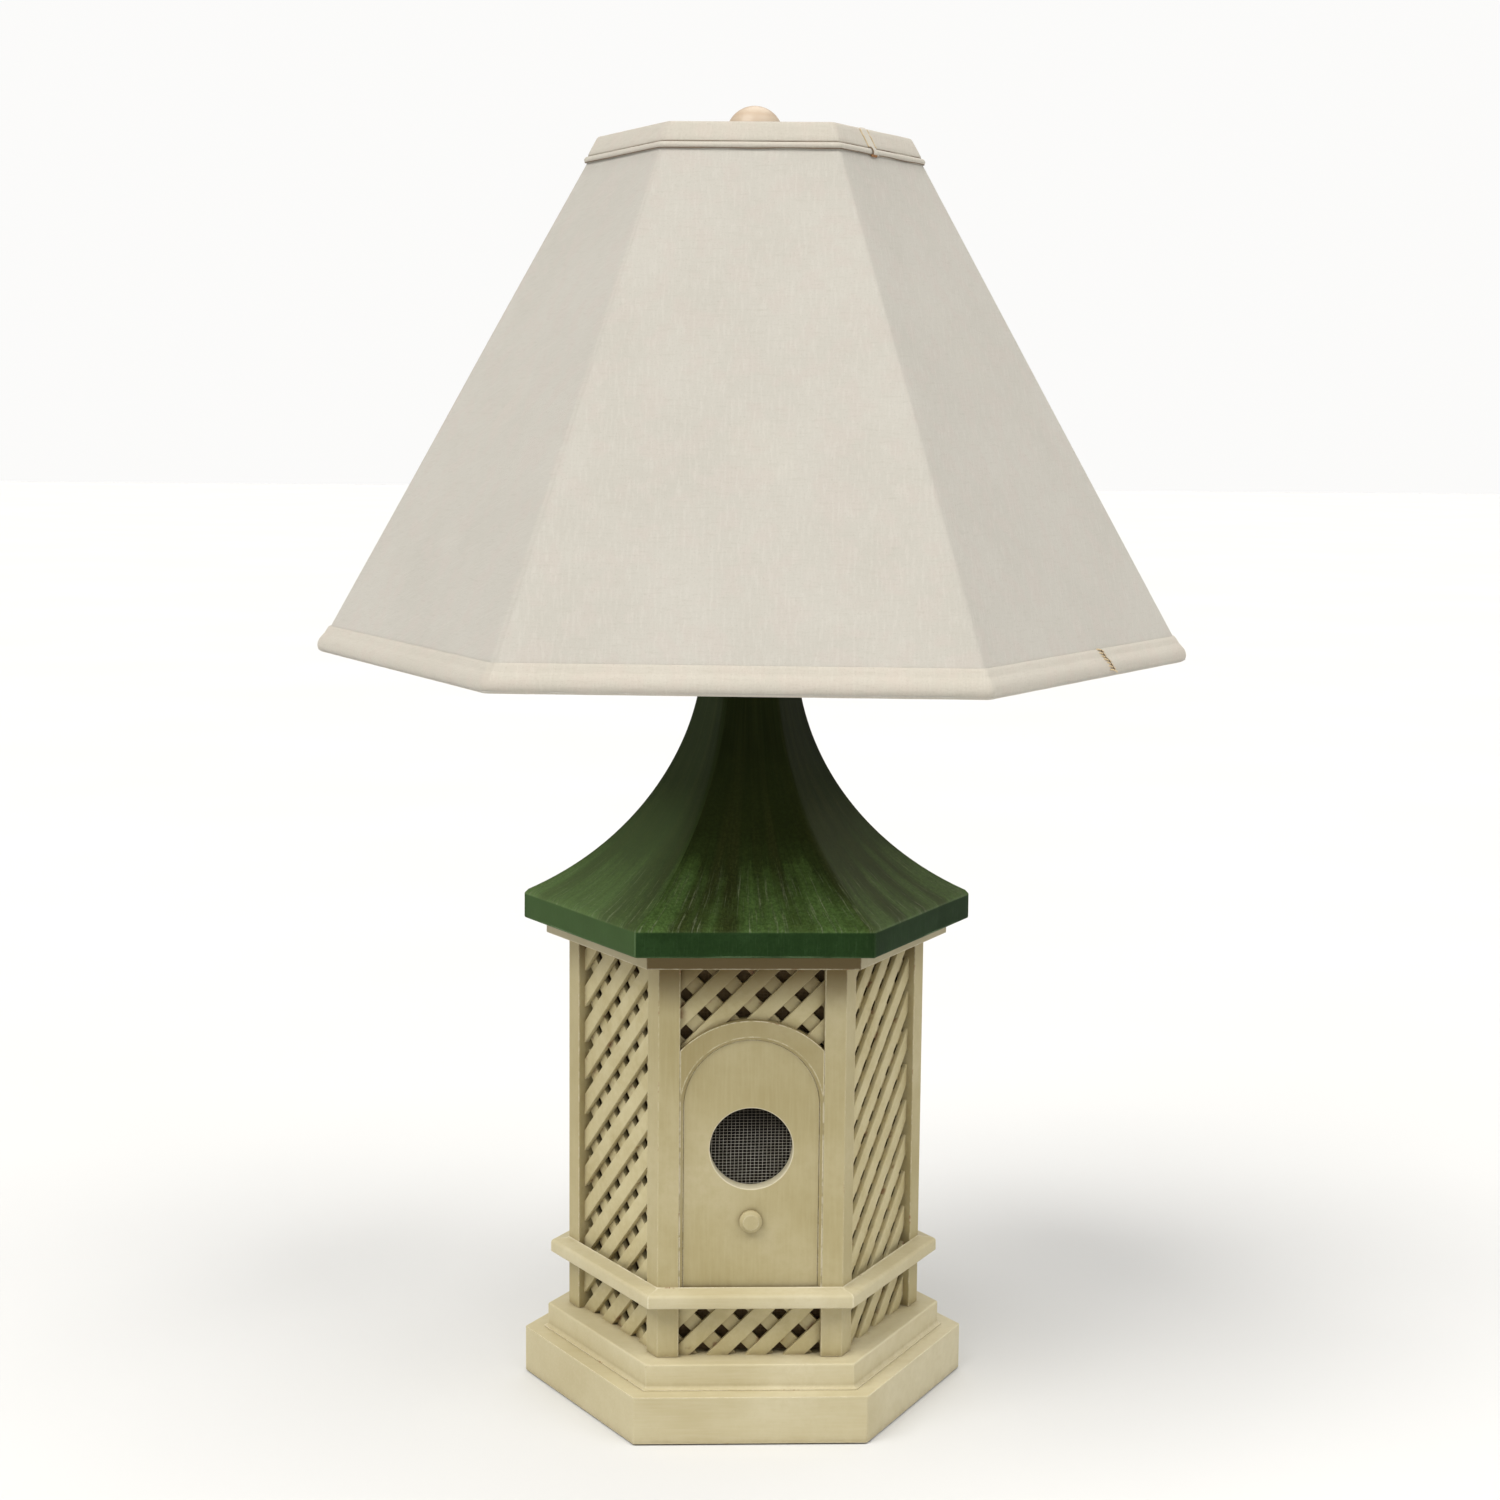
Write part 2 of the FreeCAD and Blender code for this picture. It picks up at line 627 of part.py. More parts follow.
def make_surround():
    """The frame of the door, level with the posts and bevelled round the opening."""
    crown_side = f"(crown_middle + sqrt(crown_radius^2 - {WALL_HALF}^2))"
    outline = [
        (WALL_HALF, "rail_bottom"),
        (WALL_HALF, crown_side, "crown_radius"),
        ("0", "crown_middle + crown_radius", "crown_radius"),
        (f"-{WALL_HALF}", crown_side),
        (f"-{WALL_HALF}", "rail_bottom"),
        ("-door_half", "rail_bottom"),
        ("-door_half", "door_spring", "-door_half"),
        ("0", "door_spring + door_half", "-door_half"),
        ("door_half", "door_spring"),
        ("door_half", "rail_bottom"),
    ]
    surround = board("door_surround", outline, "0", "door_back")

    def on_the_opening(middle):
        above = max(middle.z - value("door_spring"), 0)
        inside = abs(math.hypot(middle.x, above) - value("door_half")) < TOUCH
        return inside and abs(middle.y) < TOUCH and middle.z > value("rail_bottom") + TOUCH

    pad = surround.Tip
    bevel = surround.newObject("PartDesign::Chamfer", "door_surround_bevel")
    bevel.Base = (pad, edges_where(pad, on_the_opening))
    bind(bevel, "Size", "door_bevel")


def make_door():
    """The door with its round window, the insect screen behind it and the knob."""
    make_surround()
    outline = arch("door_half - slip", "door_spring", "rail_bottom")
    door = board("door_panel", outline, "door_recess", "door_back")
    hole_through(door, "window_hole", "window_radius", "window_height")
    hole_through(door, "dowel_hole", "dowel_radius + slip", "knob_height")
    screen_half = f"({WALL_HALF} - screen_margin)"
    screen_outline = [
        (f"-{screen_half}", "screen_bottom"),
        (screen_half, "screen_bottom"),
        (screen_half, "screen_top"),
        (f"-{screen_half}", "screen_top"),
    ]
    board("insect_screen", screen_outline, "door_back", "door_back + screen_thickness")
    knob = turned("door_knob", [
        ("0", "-dowel_length"),
        ("dowel_radius", "-dowel_length"),
        ("dowel_radius", "0"),
        ("knob_radius", "0"),
        ("knob_radius", "knob_thickness"),
        ("0", "knob_thickness"),
    ])
    knob.Placement = FreeCAD.Placement(ORIGIN, FreeCAD.Rotation(X_AXIS, 90))
    bind(knob, ".Placement.Base.y", f"door_recess - {WALL}")
    bind(knob, ".Placement.Base.z", "knob_height")

    def on_the_rim(middle):
        face = middle.z > value("knob_thickness") - TOUCH
        return face and math.hypot(middle.x, middle.y) > value("knob_radius") - TOUCH

    spin = knob.Tip
    rounding = knob.newObject("PartDesign::Fillet", "door_knob_rounding")
    rounding.Base = (spin, edges_where(spin, on_the_rim))
    bind(rounding, "Radius", "knob_rounding")


def make_lining():
    """A hexagonal tube of dark card inside the walls, which keeps light from passing through the lamp."""
    inner_radius = "lining_radius - lining_thickness / cos(30)"
    keep("lining_card", cut(
        "lining_card",
        prism("lining_block", "lining_radius", "plinth_top", "post_top"),
        prism("lining_room", inner_radius, "plinth_top - over", "post_top + over"),
    ))


# ---- cornice and roof -------------------------------------------------------


def make_roof():
    """The cornice board, the roof with its hollow slopes and the brass cap on it."""
    keep("cornice_board", cut(
        "cornice_board",
        prism("cornice_block", "cornice_radius", "post_top", "cornice_top"),
        cylinder("cornice_bore", "pipe_radius + slip", "post_top - over", "cornice_top + over"),
    ))
    eave = "(eave_radius * cos(30))"
    slope_start = f"({eave} - eave_bevel)"
    profile = [
        (f"-{eave}", "cornice_top"),
        (eave, "cornice_top"),
        (eave, "eave_top"),
        (slope_start, "eave_top + eave_bevel", "-roof_sweep"),
        ("roof_neck", "roof_top"),
        ("-roof_neck", "roof_top", "-roof_sweep"),
        (f"-{slope_start}", "eave_top + eave_bevel"),
        (f"-{eave}", "eave_top"),
    ]
    upright = FreeCAD.Placement(ORIGIN, FreeCAD.Rotation(X_AXIS, 90))
    gables = []
    for number in range(3):
        gable = doc.addObject("Part::Extrusion", f"gable_{number + 1}")
        gable.Base = loose_sketch(f"gable_outline_{number + 1}", upright, profile)
        gable.DirMode = "Custom"
        gable.Dir = Y_AXIS
        gable.Solid = True
        gable.Symmetric = True
        bind(gable, "LengthFwd", "3 * eave_radius")
        gable.Placement = turned_about_z(30 + 60 * number)
        gables.append(gable)
    cavity = doc.addObject("Part::Cone", "roof_cavity")
    bind(cavity, "Radius1", "cavity_radius")
    bind(cavity, "Radius2", "cavity_neck")
    bind(cavity, "Height", "cavity_top - cornice_top")
    bind(cavity, ".Placement.Base.z", "cornice_top")
    bore = cylinder("roof_bore", "pipe_radius + slip", "cornice_top", "roof_top + over")
    keep("roof", cut("roof", common("roof_block", *gables), cavity, bore))
    turned("roof_cap", [
        ("pipe_radius + slip", "roof_top"),
        ("cap_radius", "roof_top"),
        ("cap_radius", "roof_top + cap_rim"),
        ("cap_shoulder", "cap_top"),
        ("pipe_radius + slip", "cap_top"),
    ])


# ---- stem, harp and socket --------------------------------------------------


def tube(node, radius, bore, bottom, top):
    return turned(node, [(bore, bottom), (radius, bottom), (radius, top), (bore, top)])


def harp_path():
    """The middle line of the harp's wire: upright, leaning out, and round the shoulders to the top."""
    lean = math.radians(value("harp_lean"))
    words = ("harp_foot", "harp_bend", "harp_shoulder", "harp_top")
    foot, bend, shoulder, top = (value(word) for word in words)
    start, straight = value("harp_start + slip"), value("harp_straight")
    bend_end = (foot + bend * (1 - math.cos(lean)), straight + bend * math.sin(lean))
    shoulder_height = top - shoulder * (1 + math.sin(lean))
    shoulder_start = (bend_end[0] + (shoulder_height - bend_end[1]) * math.tan(lean), shoulder_height)
    crown = shoulder_start[0] - shoulder * math.cos(lean)

    def point(place, mirrored):
        return FreeCAD.Vector(-place[0] if mirrored else place[0], 0, place[1])

    def on_bend(angle):
        return (foot + bend * (1 - math.cos(angle)), straight + bend * math.sin(angle))

    def on_shoulder(angle):
        return (crown + shoulder * math.cos(angle), top - shoulder + shoulder * math.sin(angle))

    def half(mirrored):
        middle_angle = (math.pi / 2 - lean) / 2
        return [
            Part.LineSegment(point((foot, start), mirrored), point((foot, straight), mirrored)),
            Part.Arc(*(point(on_bend(angle), mirrored) for angle in (0, lean / 2, lean))),
            Part.LineSegment(point(bend_end, mirrored), point(shoulder_start, mirrored)),
            Part.Arc(*(point(on_shoulder(angle), mirrored) for angle in (-lean, middle_angle, math.pi / 2))),
        ]

    bar = Part.LineSegment(point((crown, top), False), point((crown, top), True))
    edges = [piece.toShape() for piece in half(False) + [bar] + half(True)[::-1]]
    return Part.Wire(Part.__sortEdges__(edges))


def make_harp():
    """The wire loop with its seat and stud, the saddle under it and the two sleeves that lock it."""
    path = harp_path()
    radius = value("harp_wire")
    start = FreeCAD.Vector(value("harp_foot"), 0, value("harp_start + slip"))
    section = Part.Wire(Part.Circle(start, Z_AXIS, radius).toShape())
    wire = doc.addObject("Part::Feature", "harp_wire_loop")
    wire.Shape = path.makePipeShell([section], True, True)
    seat = cylinder("harp_seat", "seat_radius", "seat_top - seat_thickness", "seat_top")
    stud = cylinder("harp_stud", "stud_radius", "harp_top", "stud_top")
    keep("harp", fuse("harp", wire, seat, stud))
    half_length = "harp_foot + saddle_end"
    strip = box(
        "saddle_strip",
        (f"-({half_length})", "-saddle_width / 2", "saddle_bottom"),
        (half_length, "saddle_width / 2", "saddle_bottom + saddle_thickness"),
    )
    pins = []
    for name, sign in (("left", "-"), ("right", "")):
        pin = cylinder(f"saddle_pin_{name}", "harp_wire", "saddle_bottom", "harp_start")
        bind(pin, ".Placement.Base.x", f"{sign}harp_foot")
        pins.append(pin)
    saddle_top = "saddle_bottom + saddle_thickness"
    bore = cylinder("saddle_bore", "pipe_radius + slip", "saddle_bottom - over", f"{saddle_top} + over")
    keep("harp_saddle", cut("harp_saddle", fuse("saddle_blank", strip, *pins), bore))
    sleeve_bottom = f"{saddle_top} + slip"
    for name, sign in (("left", "-"), ("right", "")):
        sleeve = tube(
            f"harp_sleeve_{name}", "sleeve_radius", "harp_wire + sleeve_slip",
            sleeve_bottom, f"{sleeve_bottom} + sleeve_length",
        )
        bind(sleeve, ".Placement.Base.x", f"{sign}harp_foot")


def make_stem():
    """The threaded pipe from the plinth to the socket, what clamps it and the tube round its neck."""
    tube("lamp_pipe", "pipe_radius", "pipe_bore", "pipe_bottom", "pipe_top")
    tube("pipe_washer", "washer_radius", "pipe_radius + slip", "well_top - washer_thickness", "well_top")
    nut_top = "(well_top - washer_thickness)"
    keep("pipe_nut", cut(
        "pipe_nut",
        prism("nut_block", "nut_radius", f"{nut_top} - nut_thickness", nut_top),
        cylinder("nut_bore", "pipe_radius + slip", "0", nut_top),
    ))
    tube("neck_tube", "neck_radius", "pipe_radius + slip", "cap_top", "saddle_bottom")


def make_socket():
    """The brass socket with its phenolic block, screw shell and switch key."""
    cap_bottom = "(saddle_bottom + saddle_thickness)"
    cap_inner = "(socket_radius + cup_slip)"
    cap_outer = f"({cap_inner} + cup_wall)"
    turned("socket_cap", [
        ("pipe_radius + slip", cap_bottom),
        ("collar_radius", cap_bottom),
        ("collar_radius", f"{cap_bottom} + collar_height"),
        (cap_outer, "cup_shoulder"),
        (cap_outer, "cup_top"),
        (cap_inner, "cup_top"),
        (cap_inner, "cup_floor"),
        ("collar_inner", "pipe_top"),
        ("pipe_radius + slip", "pipe_top"),
    ])
    bore = "(socket_radius - socket_wall)"
    shell_tube = cut(
        "socket_tube",
        cylinder("socket_block", "socket_radius", "socket_bottom", "socket_top"),
        cylinder("socket_bore", bore, "socket_bottom - over", "socket_top + over"),
    )
    key_slot = across("key_slot", "key_radius + key_slot_slack", "-2 * socket_radius", "0", "key_height")
    keep("socket_shell", cut("socket_shell", shell_tube, key_slot))
    block = cylinder("phenolic_block", f"{bore} - slip", "socket_bottom", "block_top")
    key_bore = across("key_bore", "key_radius + slip", "-2 * socket_radius", "-key_bore_end", "key_height")
    keep("socket_base", cut("socket_base", block, key_bore))
    screw_bore = "bulb_base_radius + slip"
    tube("socket_screw_shell", "screw_shell_radius", screw_bore, "block_top", "screw_shell_top")
    shaft = across("key_shaft", "key_radius", "-key_reach + key_thickness", "-key_end", "key_height")
    paddle = box(
        "key_paddle",
        ("-key_width / 2", "-key_reach", "key_height - key_width / 4"),
        ("key_width / 2", "-key_reach + key_thickness", "key_height + key_width / 4"),
    )
    keep("socket_key", fuse("socket_key", shaft, paddle))


def globe_side(radius):
    """Where the bulb's neck runs into a globe of this radius, 30 degrees below its middle."""
    return f"({radius}) * cos(30)", f"bulb_middle - ({radius}) * sin(30)"


def make_bulb():
    """The screw base and the glass, a thin shell."""
    turned("bulb_base", [
        ("0", "block_top + bulb_lift"),
        ("contact_radius", "block_top + bulb_lift"),
        ("contact_radius", "block_top + contact_height"),
        ("bulb_base_radius", "block_top + base_taper"),
        ("bulb_base_radius", "bulb_base_top"),
        ("0", "bulb_base_top"),
    ])
    inner = "(bulb_radius - bulb_wall)"
    inner_neck = "(bulb_base_radius - bulb_wall)"
    across_side, side_height = globe_side("bulb_radius")
    inner_across, inner_height = globe_side(inner)
    turned("bulb_glass", [
        (inner_neck, "bulb_base_top"),
        ("bulb_base_radius", "bulb_base_top"),
        ("bulb_base_radius", f"{side_height} - ({across_side} - bulb_base_radius) * tan(60)"),
        (across_side, side_height, "bulb_radius"),
        ("bulb_radius", "bulb_middle", "bulb_radius"),
        ("0", "bulb_middle + bulb_radius"),
        ("0", f"bulb_middle + {inner}", f"-{inner}"),
        (inner, "bulb_middle", f"-{inner}"),
        (inner_across, inner_height),
        (inner_neck, f"{inner_height} - ({inner_across} - {inner_neck}) * tan(60)"),
    ])


# ---- shade and finial -------------------------------------------------------


def linen_face(height):
    """Distance of the linen's outer face from the axis at a height, square to a side."""
    slope = "(shade_foot - shade_head) / (shade_top - shade_bottom)"
    return f"(shade_head + (shade_top - ({height})) * {slope})"


def turn_of_side(number):
    return value("shade_yaw") + 60 * number


def ring_of_sides(node, foot, head):
    """Six mitred sides kept as one sub-part, each a solid of its own."""
    sides = [side(f"{node}_{number + 1}", foot, head, turn_of_side(number)) for number in SIDES]
    keep(node, group(node, *sides))


def wire_ring(name, height):
    """The six straight wires of a hexagon just inside the linen, which meet at the corners."""
    middle = f"({linen_face(height)} - linen - frame_gap - frame_wire)"
    wires = []
    for number in SIDES:
        wire = doc.addObject("Part::Cylinder", f"{name}_{number + 1}")
        bind(wire, "Radius", "frame_wire")
        half = f"(({middle} - frame_wire) * tan(30) - slip)"
        bind(wire, "Height", f"2 * {half}")
        spin = FreeCAD.Rotation(Z_AXIS, turn_of_side(number))
        start = spin.multVec(FreeCAD.Vector(-value(half), -value(middle), value(height)))
        wire.Placement = FreeCAD.Placement(start, spin * FreeCAD.Rotation(Y_AXIS, 90))
        wires.append(wire)
    return wires


def make_shade():
    """Six linen panels on a wire frame, with a band round the top and the bottom."""
    for number in SIDES:
        node = f"shade_panel_{number + 1}"
        foot = ("shade_foot - linen", "shade_foot", "shade_bottom")
        head = ("shade_head - linen", "shade_head", "shade_top")
        keep(node, side(node, foot, head, turn_of_side(number)))

    def over_linen(height, thickness):
        face = linen_face(height)
        return f"{face} + slip", f"{face} + slip + {thickness}", height

    band_bottom = "(shade_top - band)"
    for node, low, high, thickness in (
        ("shade_bottom_trim", "shade_bottom", "(shade_bottom + hem)", "hem_thickness"),
        ("shade_top_trim", band_bottom, "shade_top", "band_thickness"),
        ("shade_piping", f"({band_bottom} - piping)", f"({band_bottom} - slip)", "piping_thickness"),
    ):
        ring_of_sides(node, over_linen(low, thickness), over_linen(high, thickness))
    low, high = "(shade_bottom + ring_low)", "(shade_top - ring_high)"
    rings = wire_ring("bottom_ring", low) + wire_ring("top_ring", high)
    keep("shade_rings", group("shade_rings", *rings))

    def corner_of_frame(height):
        return f"(({linen_face(height)} - linen - frame_gap - frame_wire) / cos(30))"

    ribs = []
    rib_low, rib_high = f"({low} + rib_gap)", f"({high} - rib_gap)"
    for number in SIDES:
        start = (f"{corner_of_frame(rib_low)} - rib_inset", rib_low)
        end = (f"{corner_of_frame(rib_high)} - rib_inset", rib_high)
        ribs.append(rod(f"shade_rib_{number + 1}", "frame_wire", start, end, turn_of_side(number)))
    keep("shade_ribs", group("shade_ribs", *ribs))

    washer_bottom = "(seat_top + play)"
    washer_top = f"({washer_bottom} + spider_thickness)"
    washer = cut(
        "spider_washer",
        cylinder("spider_disc", "spider_radius", washer_bottom, washer_top),
        cylinder("spider_bore", "stud_radius + slip", "seat_top - over", f"{washer_top} + over"),
    )
    arms = []
    for number in (0, 2, 4):
        start = ("spider_radius + arm_gap", f"{washer_bottom} + spider_thickness / 2")
        end = (f"{corner_of_frame(high)} - arm_inset", high)
        arms.append(rod(f"spider_arm_{number + 1}", "frame_wire", start, end, turn_of_side(number)))
    keep("shade_spider", group("shade_spider", washer, *arms))


def make_finial():
    """A ball on a short foot, bored for the harp's stud."""
    foot_bottom = "(seat_top + spider_thickness + 2 * play)"
    turned("finial", [
        ("stud_radius + slip", foot_bottom),
        ("finial_foot", foot_bottom),
        ("finial_foot", "ball_middle - sqrt(ball_radius^2 - finial_foot^2)", "ball_radius"),
        ("ball_radius", "ball_middle", "ball_radius"),
        ("0", "ball_middle + ball_radius"),
        ("0", "finial_bore_top"),
        ("stud_radius + slip", "finial_bore_top"),
    ])


def failures():
    """What FreeCAD couldn't build, in words."""
    for thing in doc.Objects:
        if {"Invalid", "Error"} & set(thing.State):
            yield f"{thing.Name} is {thing.State}"
    for node, thing in nodes.items():
        if thing.Shape.isNull() or not thing.Shape.isValid() or not thing.Shape.Solids:
            yield f"{node} has no valid solid"


make_plinth()
make_posts()
make_lattice()
make_rails()
make_door()
make_lining()
make_roof()
make_stem()
make_harp()
make_socket()
make_bulb()
make_shade()
make_finial()
doc.recompute()

wrong = list(failures())
if wrong:
    raise RuntimeError("; ".join(wrong))

os.makedirs("parts", exist_ok=True)
for node, thing in nodes.items():
    thing.Shape.exportStep(f"parts/{node}.step")
    print(f"{node}: {len(thing.Shape.Solids)} solids, {thing.Shape.Volume / 1000:.2f} cm3")
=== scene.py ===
import math
import random

import bmesh
import bpy
import numpy as np
from mathutils import Matrix, Vector


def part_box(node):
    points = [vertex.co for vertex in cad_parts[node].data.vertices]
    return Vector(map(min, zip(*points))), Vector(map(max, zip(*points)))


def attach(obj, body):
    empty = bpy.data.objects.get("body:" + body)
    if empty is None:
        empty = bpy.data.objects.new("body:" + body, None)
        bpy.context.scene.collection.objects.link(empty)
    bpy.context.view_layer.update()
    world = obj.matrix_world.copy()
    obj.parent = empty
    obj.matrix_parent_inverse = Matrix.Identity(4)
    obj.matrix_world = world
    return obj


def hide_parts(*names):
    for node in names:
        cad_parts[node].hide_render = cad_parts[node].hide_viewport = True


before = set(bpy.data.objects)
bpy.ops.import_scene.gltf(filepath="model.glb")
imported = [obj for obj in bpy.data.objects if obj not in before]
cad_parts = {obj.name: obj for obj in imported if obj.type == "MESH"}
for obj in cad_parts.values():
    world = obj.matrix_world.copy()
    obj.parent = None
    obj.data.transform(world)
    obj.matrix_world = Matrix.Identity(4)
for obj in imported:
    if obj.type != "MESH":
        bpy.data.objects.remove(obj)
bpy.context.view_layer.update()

# A table lamp: a linen shade on a wooden gazebo. Metres, in the CAD frame: +Z up, and the door faces -Y.
# Colours are 0..255 display values.

MM = 0.001
TAN30 = math.tan(math.radians(30))
COS30 = math.cos(math.radians(30))
SIDES = range(6)
FRONT = -90  # compass direction of the wall with the door, in degrees from +X
SHADE_YAW = -4  # the shade sits turned by this many degrees


# ---- sizes taken from the frame ----


def reach(node, degrees, low=-9, high=9):
    """How far a node reaches in a level direction, among its points between two heights."""
    points = np.array([vertex.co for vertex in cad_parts[node].data.vertices], float)
    points = points[(points[:, 2] >= low) & (points[:, 2] <= high)]
    angle = math.radians(degrees)
    return float((points[:, 0] * math.cos(angle) + points[:, 1] * math.sin(angle)).max())


def heights(node):
    low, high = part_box(node)
    return low.z, high.z


WALL = reach("corner_post_1", FRONT)  # distance of a wall's face from the axis
WALL_LOW, WALL_HIGH = heights("corner_post_1")
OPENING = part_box("lattice_foot")[1].x  # half of the opening between two posts
SHADE_LOW, SHADE_HIGH = heights("shade_panel_1")
SHADE_FOOT = reach("shade_panel_1", FRONT + SHADE_YAW, high=SHADE_LOW + MM)
SHADE_HEAD = reach("shade_panel_1", FRONT + SHADE_YAW, low=SHADE_HIGH - MM)
SHADE_LEAN = math.atan2(SHADE_FOOT - SHADE_HEAD, SHADE_HIGH - SHADE_LOW)
SHADE_SLOPE = (SHADE_HIGH - SHADE_LOW) / math.cos(SHADE_LEAN)
WINDOW_HEIGHT, WINDOW_RADIUS = 155.9 * MM, 22.3 * MM  # the round window in the door
ROOF_SLOPE_HEIGHT = 136.5 * MM  # from the top of the roof's upright edge to the neck


# ---- node materials ----


class Finish:
    """A procedural material under construction. Most of its methods return sockets."""

    def __init__(self, name, roughness=0.5, metallic=0.0, gloss=0.5):
        self.material = bpy.data.materials.new(name)
        self.material.use_nodes = True
        self.tree = self.material.node_tree
        self.shader = self.tree.nodes["Principled BSDF"]
        self.set("Roughness", roughness)
        self.set("Metallic", metallic)
        self.set("Specular IOR Level", gloss)
        coordinates = self.add("ShaderNodeTexCoord")
        self.place, self.uv = coordinates.outputs["Object"], coordinates.outputs["UV"]
        self.colour = None

    def feed(self, socket, source):
        """Joins an input to another node's output, or sets it to a plain value."""
        if isinstance(source, bpy.types.NodeSocket):
            self.tree.links.new(source, socket)
        else:
            socket.default_value = source

    def set(self, name, source):
        self.feed(self.shader.inputs[name], source)

    def add(self, kind, inputs=None, **settings):
        made = self.tree.nodes.new(kind)
        for name, setting in settings.items():
            setattr(made, name, setting)
        for name, source in (inputs or {}).items():
            self.feed(made.inputs[name], source)
        return made

    def noise(self, scale, detail=3.0, roughness=0.55, distortion=0.0, on=None):
        """Cloudy values from 0 to 1. A scale with three numbers stretches the pattern."""
        vector = self.place if on is None else on
        if isinstance(scale, tuple):
            mapping = self.add("ShaderNodeMapping", {"Vector": vector, "Scale": scale})
            vector, scale = mapping.outputs["Vector"], 1.0
        inputs = {"Vector": vector, "Scale": scale, "Detail": detail, "Roughness": roughness}
        return self.add("ShaderNodeTexNoise", inputs | {"Distortion": distortion}).outputs["Fac"]

    def spread(self, value, low, high, out_low=0.0, out_high=1.0):
        """The value stretched from low..high to another span, and held inside it."""
        inputs = {"Value": value, "From Min": low, "From Max": high, "To Min": out_low, "To Max": out_high}
        return self.add("ShaderNodeMapRange", inputs, interpolation_type="SMOOTHSTEP").outputs["Result"]

    def sum(self, *terms, operation="ADD"):
        total = terms[0]
        for term in terms[1:]:
            total = self.add("ShaderNodeMath", {0: total, 1: term}, operation=operation).outputs[0]
        return total

    def times(self, *terms):
        return self.sum(*terms, operation="MULTIPLY")

    def blend(self, amount, first, second):
        made = self.add("ShaderNodeMix", {0: amount}, data_type="RGBA")
        for slot, source in ((6, first), (7, second)):
            self.feed(made.inputs[slot], rgba(source) if isinstance(source, tuple) else source)
        return made.outputs[2]

    def over(self, colour, *amounts):
        """Lays a colour over the paint so far, as thick as the product of the amounts."""
        self.colour = self.blend(self.times(*amounts), self.colour, colour)

    def ramp(self, value, *stops):
        made = self.add("ShaderNodeValToRGB", {"Fac": value})
        elements = made.color_ramp.elements
        while len(elements) < len(stops):
            elements.new(0.5)
        for element, (position, colour) in zip(elements, stops):
            element.position = position
            element.color = rgba(colour)
        return made.outputs["Color"]

    def parts_of(self, vector):
        return self.add("ShaderNodeSeparateXYZ", {"Vector": vector}).outputs

    def crevice(self, distance):
        """From 0 in the open to 1 deep in a corner."""
        shade = self.add("ShaderNodeAmbientOcclusion", {"Distance": distance}, samples=8).outputs["AO"]
        return self.spread(shade, 0.35, 0.95, 1.0, 0.0)

    def edge(self, radius):
        """About 1 along sharp outer edges and 0 on flat faces."""
        soft = self.add("ShaderNodeBevel", {"Radius": radius}, samples=4).outputs["Normal"]
        true = self.add("ShaderNodeNewGeometry").outputs["Normal"]
        made = self.add("ShaderNodeVectorMath", {0: soft, 1: true}, operation="DOT_PRODUCT")
        return self.spread(made.outputs["Value"], 0.93, 0.995, 1.0, 0.0)

    def relief(self, height, distance, strength=1.0):
        inputs = {"Height": height, "Distance": distance, "Strength": strength}
        self.set("Normal", self.add("ShaderNodeBump", inputs).outputs["Normal"])

    def done(self):
        self.set("Base Color", self.colour)
        return self.material


def rgba(colour):
    """A colour named in 0..255 display values, as the linear values that nodes use."""
    parts = [channel / 255 for channel in colour]
    return (*(part / 12.92 if part <= 0.04045 else ((part + 0.055) / 1.055) ** 2.4 for part in parts), 1.0)


def cream_paint(name, strokes, shades, wear_and_highlight=0.7):
    """Brushed cream paint with painted shadow under the eaves, painted shade in its corners, painted
    highlights and wear on its edges and a painted highlight round the door's window. strokes is how the brush
    marks are stretched.
    """
    coat = Finish(name, 0.55, gloss=0.25)
    brush = coat.noise(strokes, detail=4)
    fine = coat.noise(160, detail=4, roughness=0.7)
    deep, middle, pale = shades
    coat.colour = coat.ramp(coat.noise(14), (0.3, deep), (0.5, middle), (0.7, pale))
    coat.over(deep, coat.spread(fine, 0.35, 0.7, 0.0, 0.35))
    coat.over(pale, coat.spread(brush, 0.35, 0.75, 0.0, 0.3))
    # painted shadow under the eaves, deepest on the faces towards the door
    coat.over((92, 75, 38), eaves_shadow(coat, 0.95))
    # painted shade in corners and hollows
    coat.over((112, 92, 54), coat.crevice(7 * MM), coat.spread(fine, 0.2, 0.8, 0.25, 0.65))
    edge = coat.edge(1.0 * MM)
    # light edges: partly real wear, partly painted highlight
    coat.over((222, 214, 188), edge, coat.spread(fine, 0.4, 0.6, 0.1, wear_and_highlight))
    rare = coat.spread(coat.noise(55, detail=2), 0.63, 0.66)
    coat.over((134, 82, 56), edge, rare, coat.spread(coat.noise(900, detail=1), 0.5, 0.56))
    # painted highlight on the rim inside the door's round window
    coat.over((232, 226, 204), window_lip_highlight(coat))
    coat.set("Roughness", coat.spread(brush, 0.2, 0.8, 0.46, 0.64))
    coat.relief(coat.sum(coat.times(brush, 0.6), coat.times(fine, 0.3)), 0.1 * MM, 0.5)
    return coat.done()


def window_lip_highlight(coat):
    """How much painted highlight lies on a place: half inside the round hole in the door, else none."""
    place = coat.parts_of(coat.place)
    flat = coat.add("ShaderNodeCombineXYZ", {"X": place["X"], "Z": place["Z"]}).outputs[0]
    start, end = WINDOW_RADIUS + 0.2 * MM, WINDOW_RADIUS + 0.6 * MM
    return coat.spread(from_window(coat, flat, 0.0), start, end, 0.5, 0.0)


def from_window(coat, place, y):
    """The distance of a place from a point on the round window's axis."""
    window = (0, y, WINDOW_HEIGHT)
    return coat.add("ShaderNodeVectorMath", {0: place, 1: window}, operation="DISTANCE").outputs["Value"]


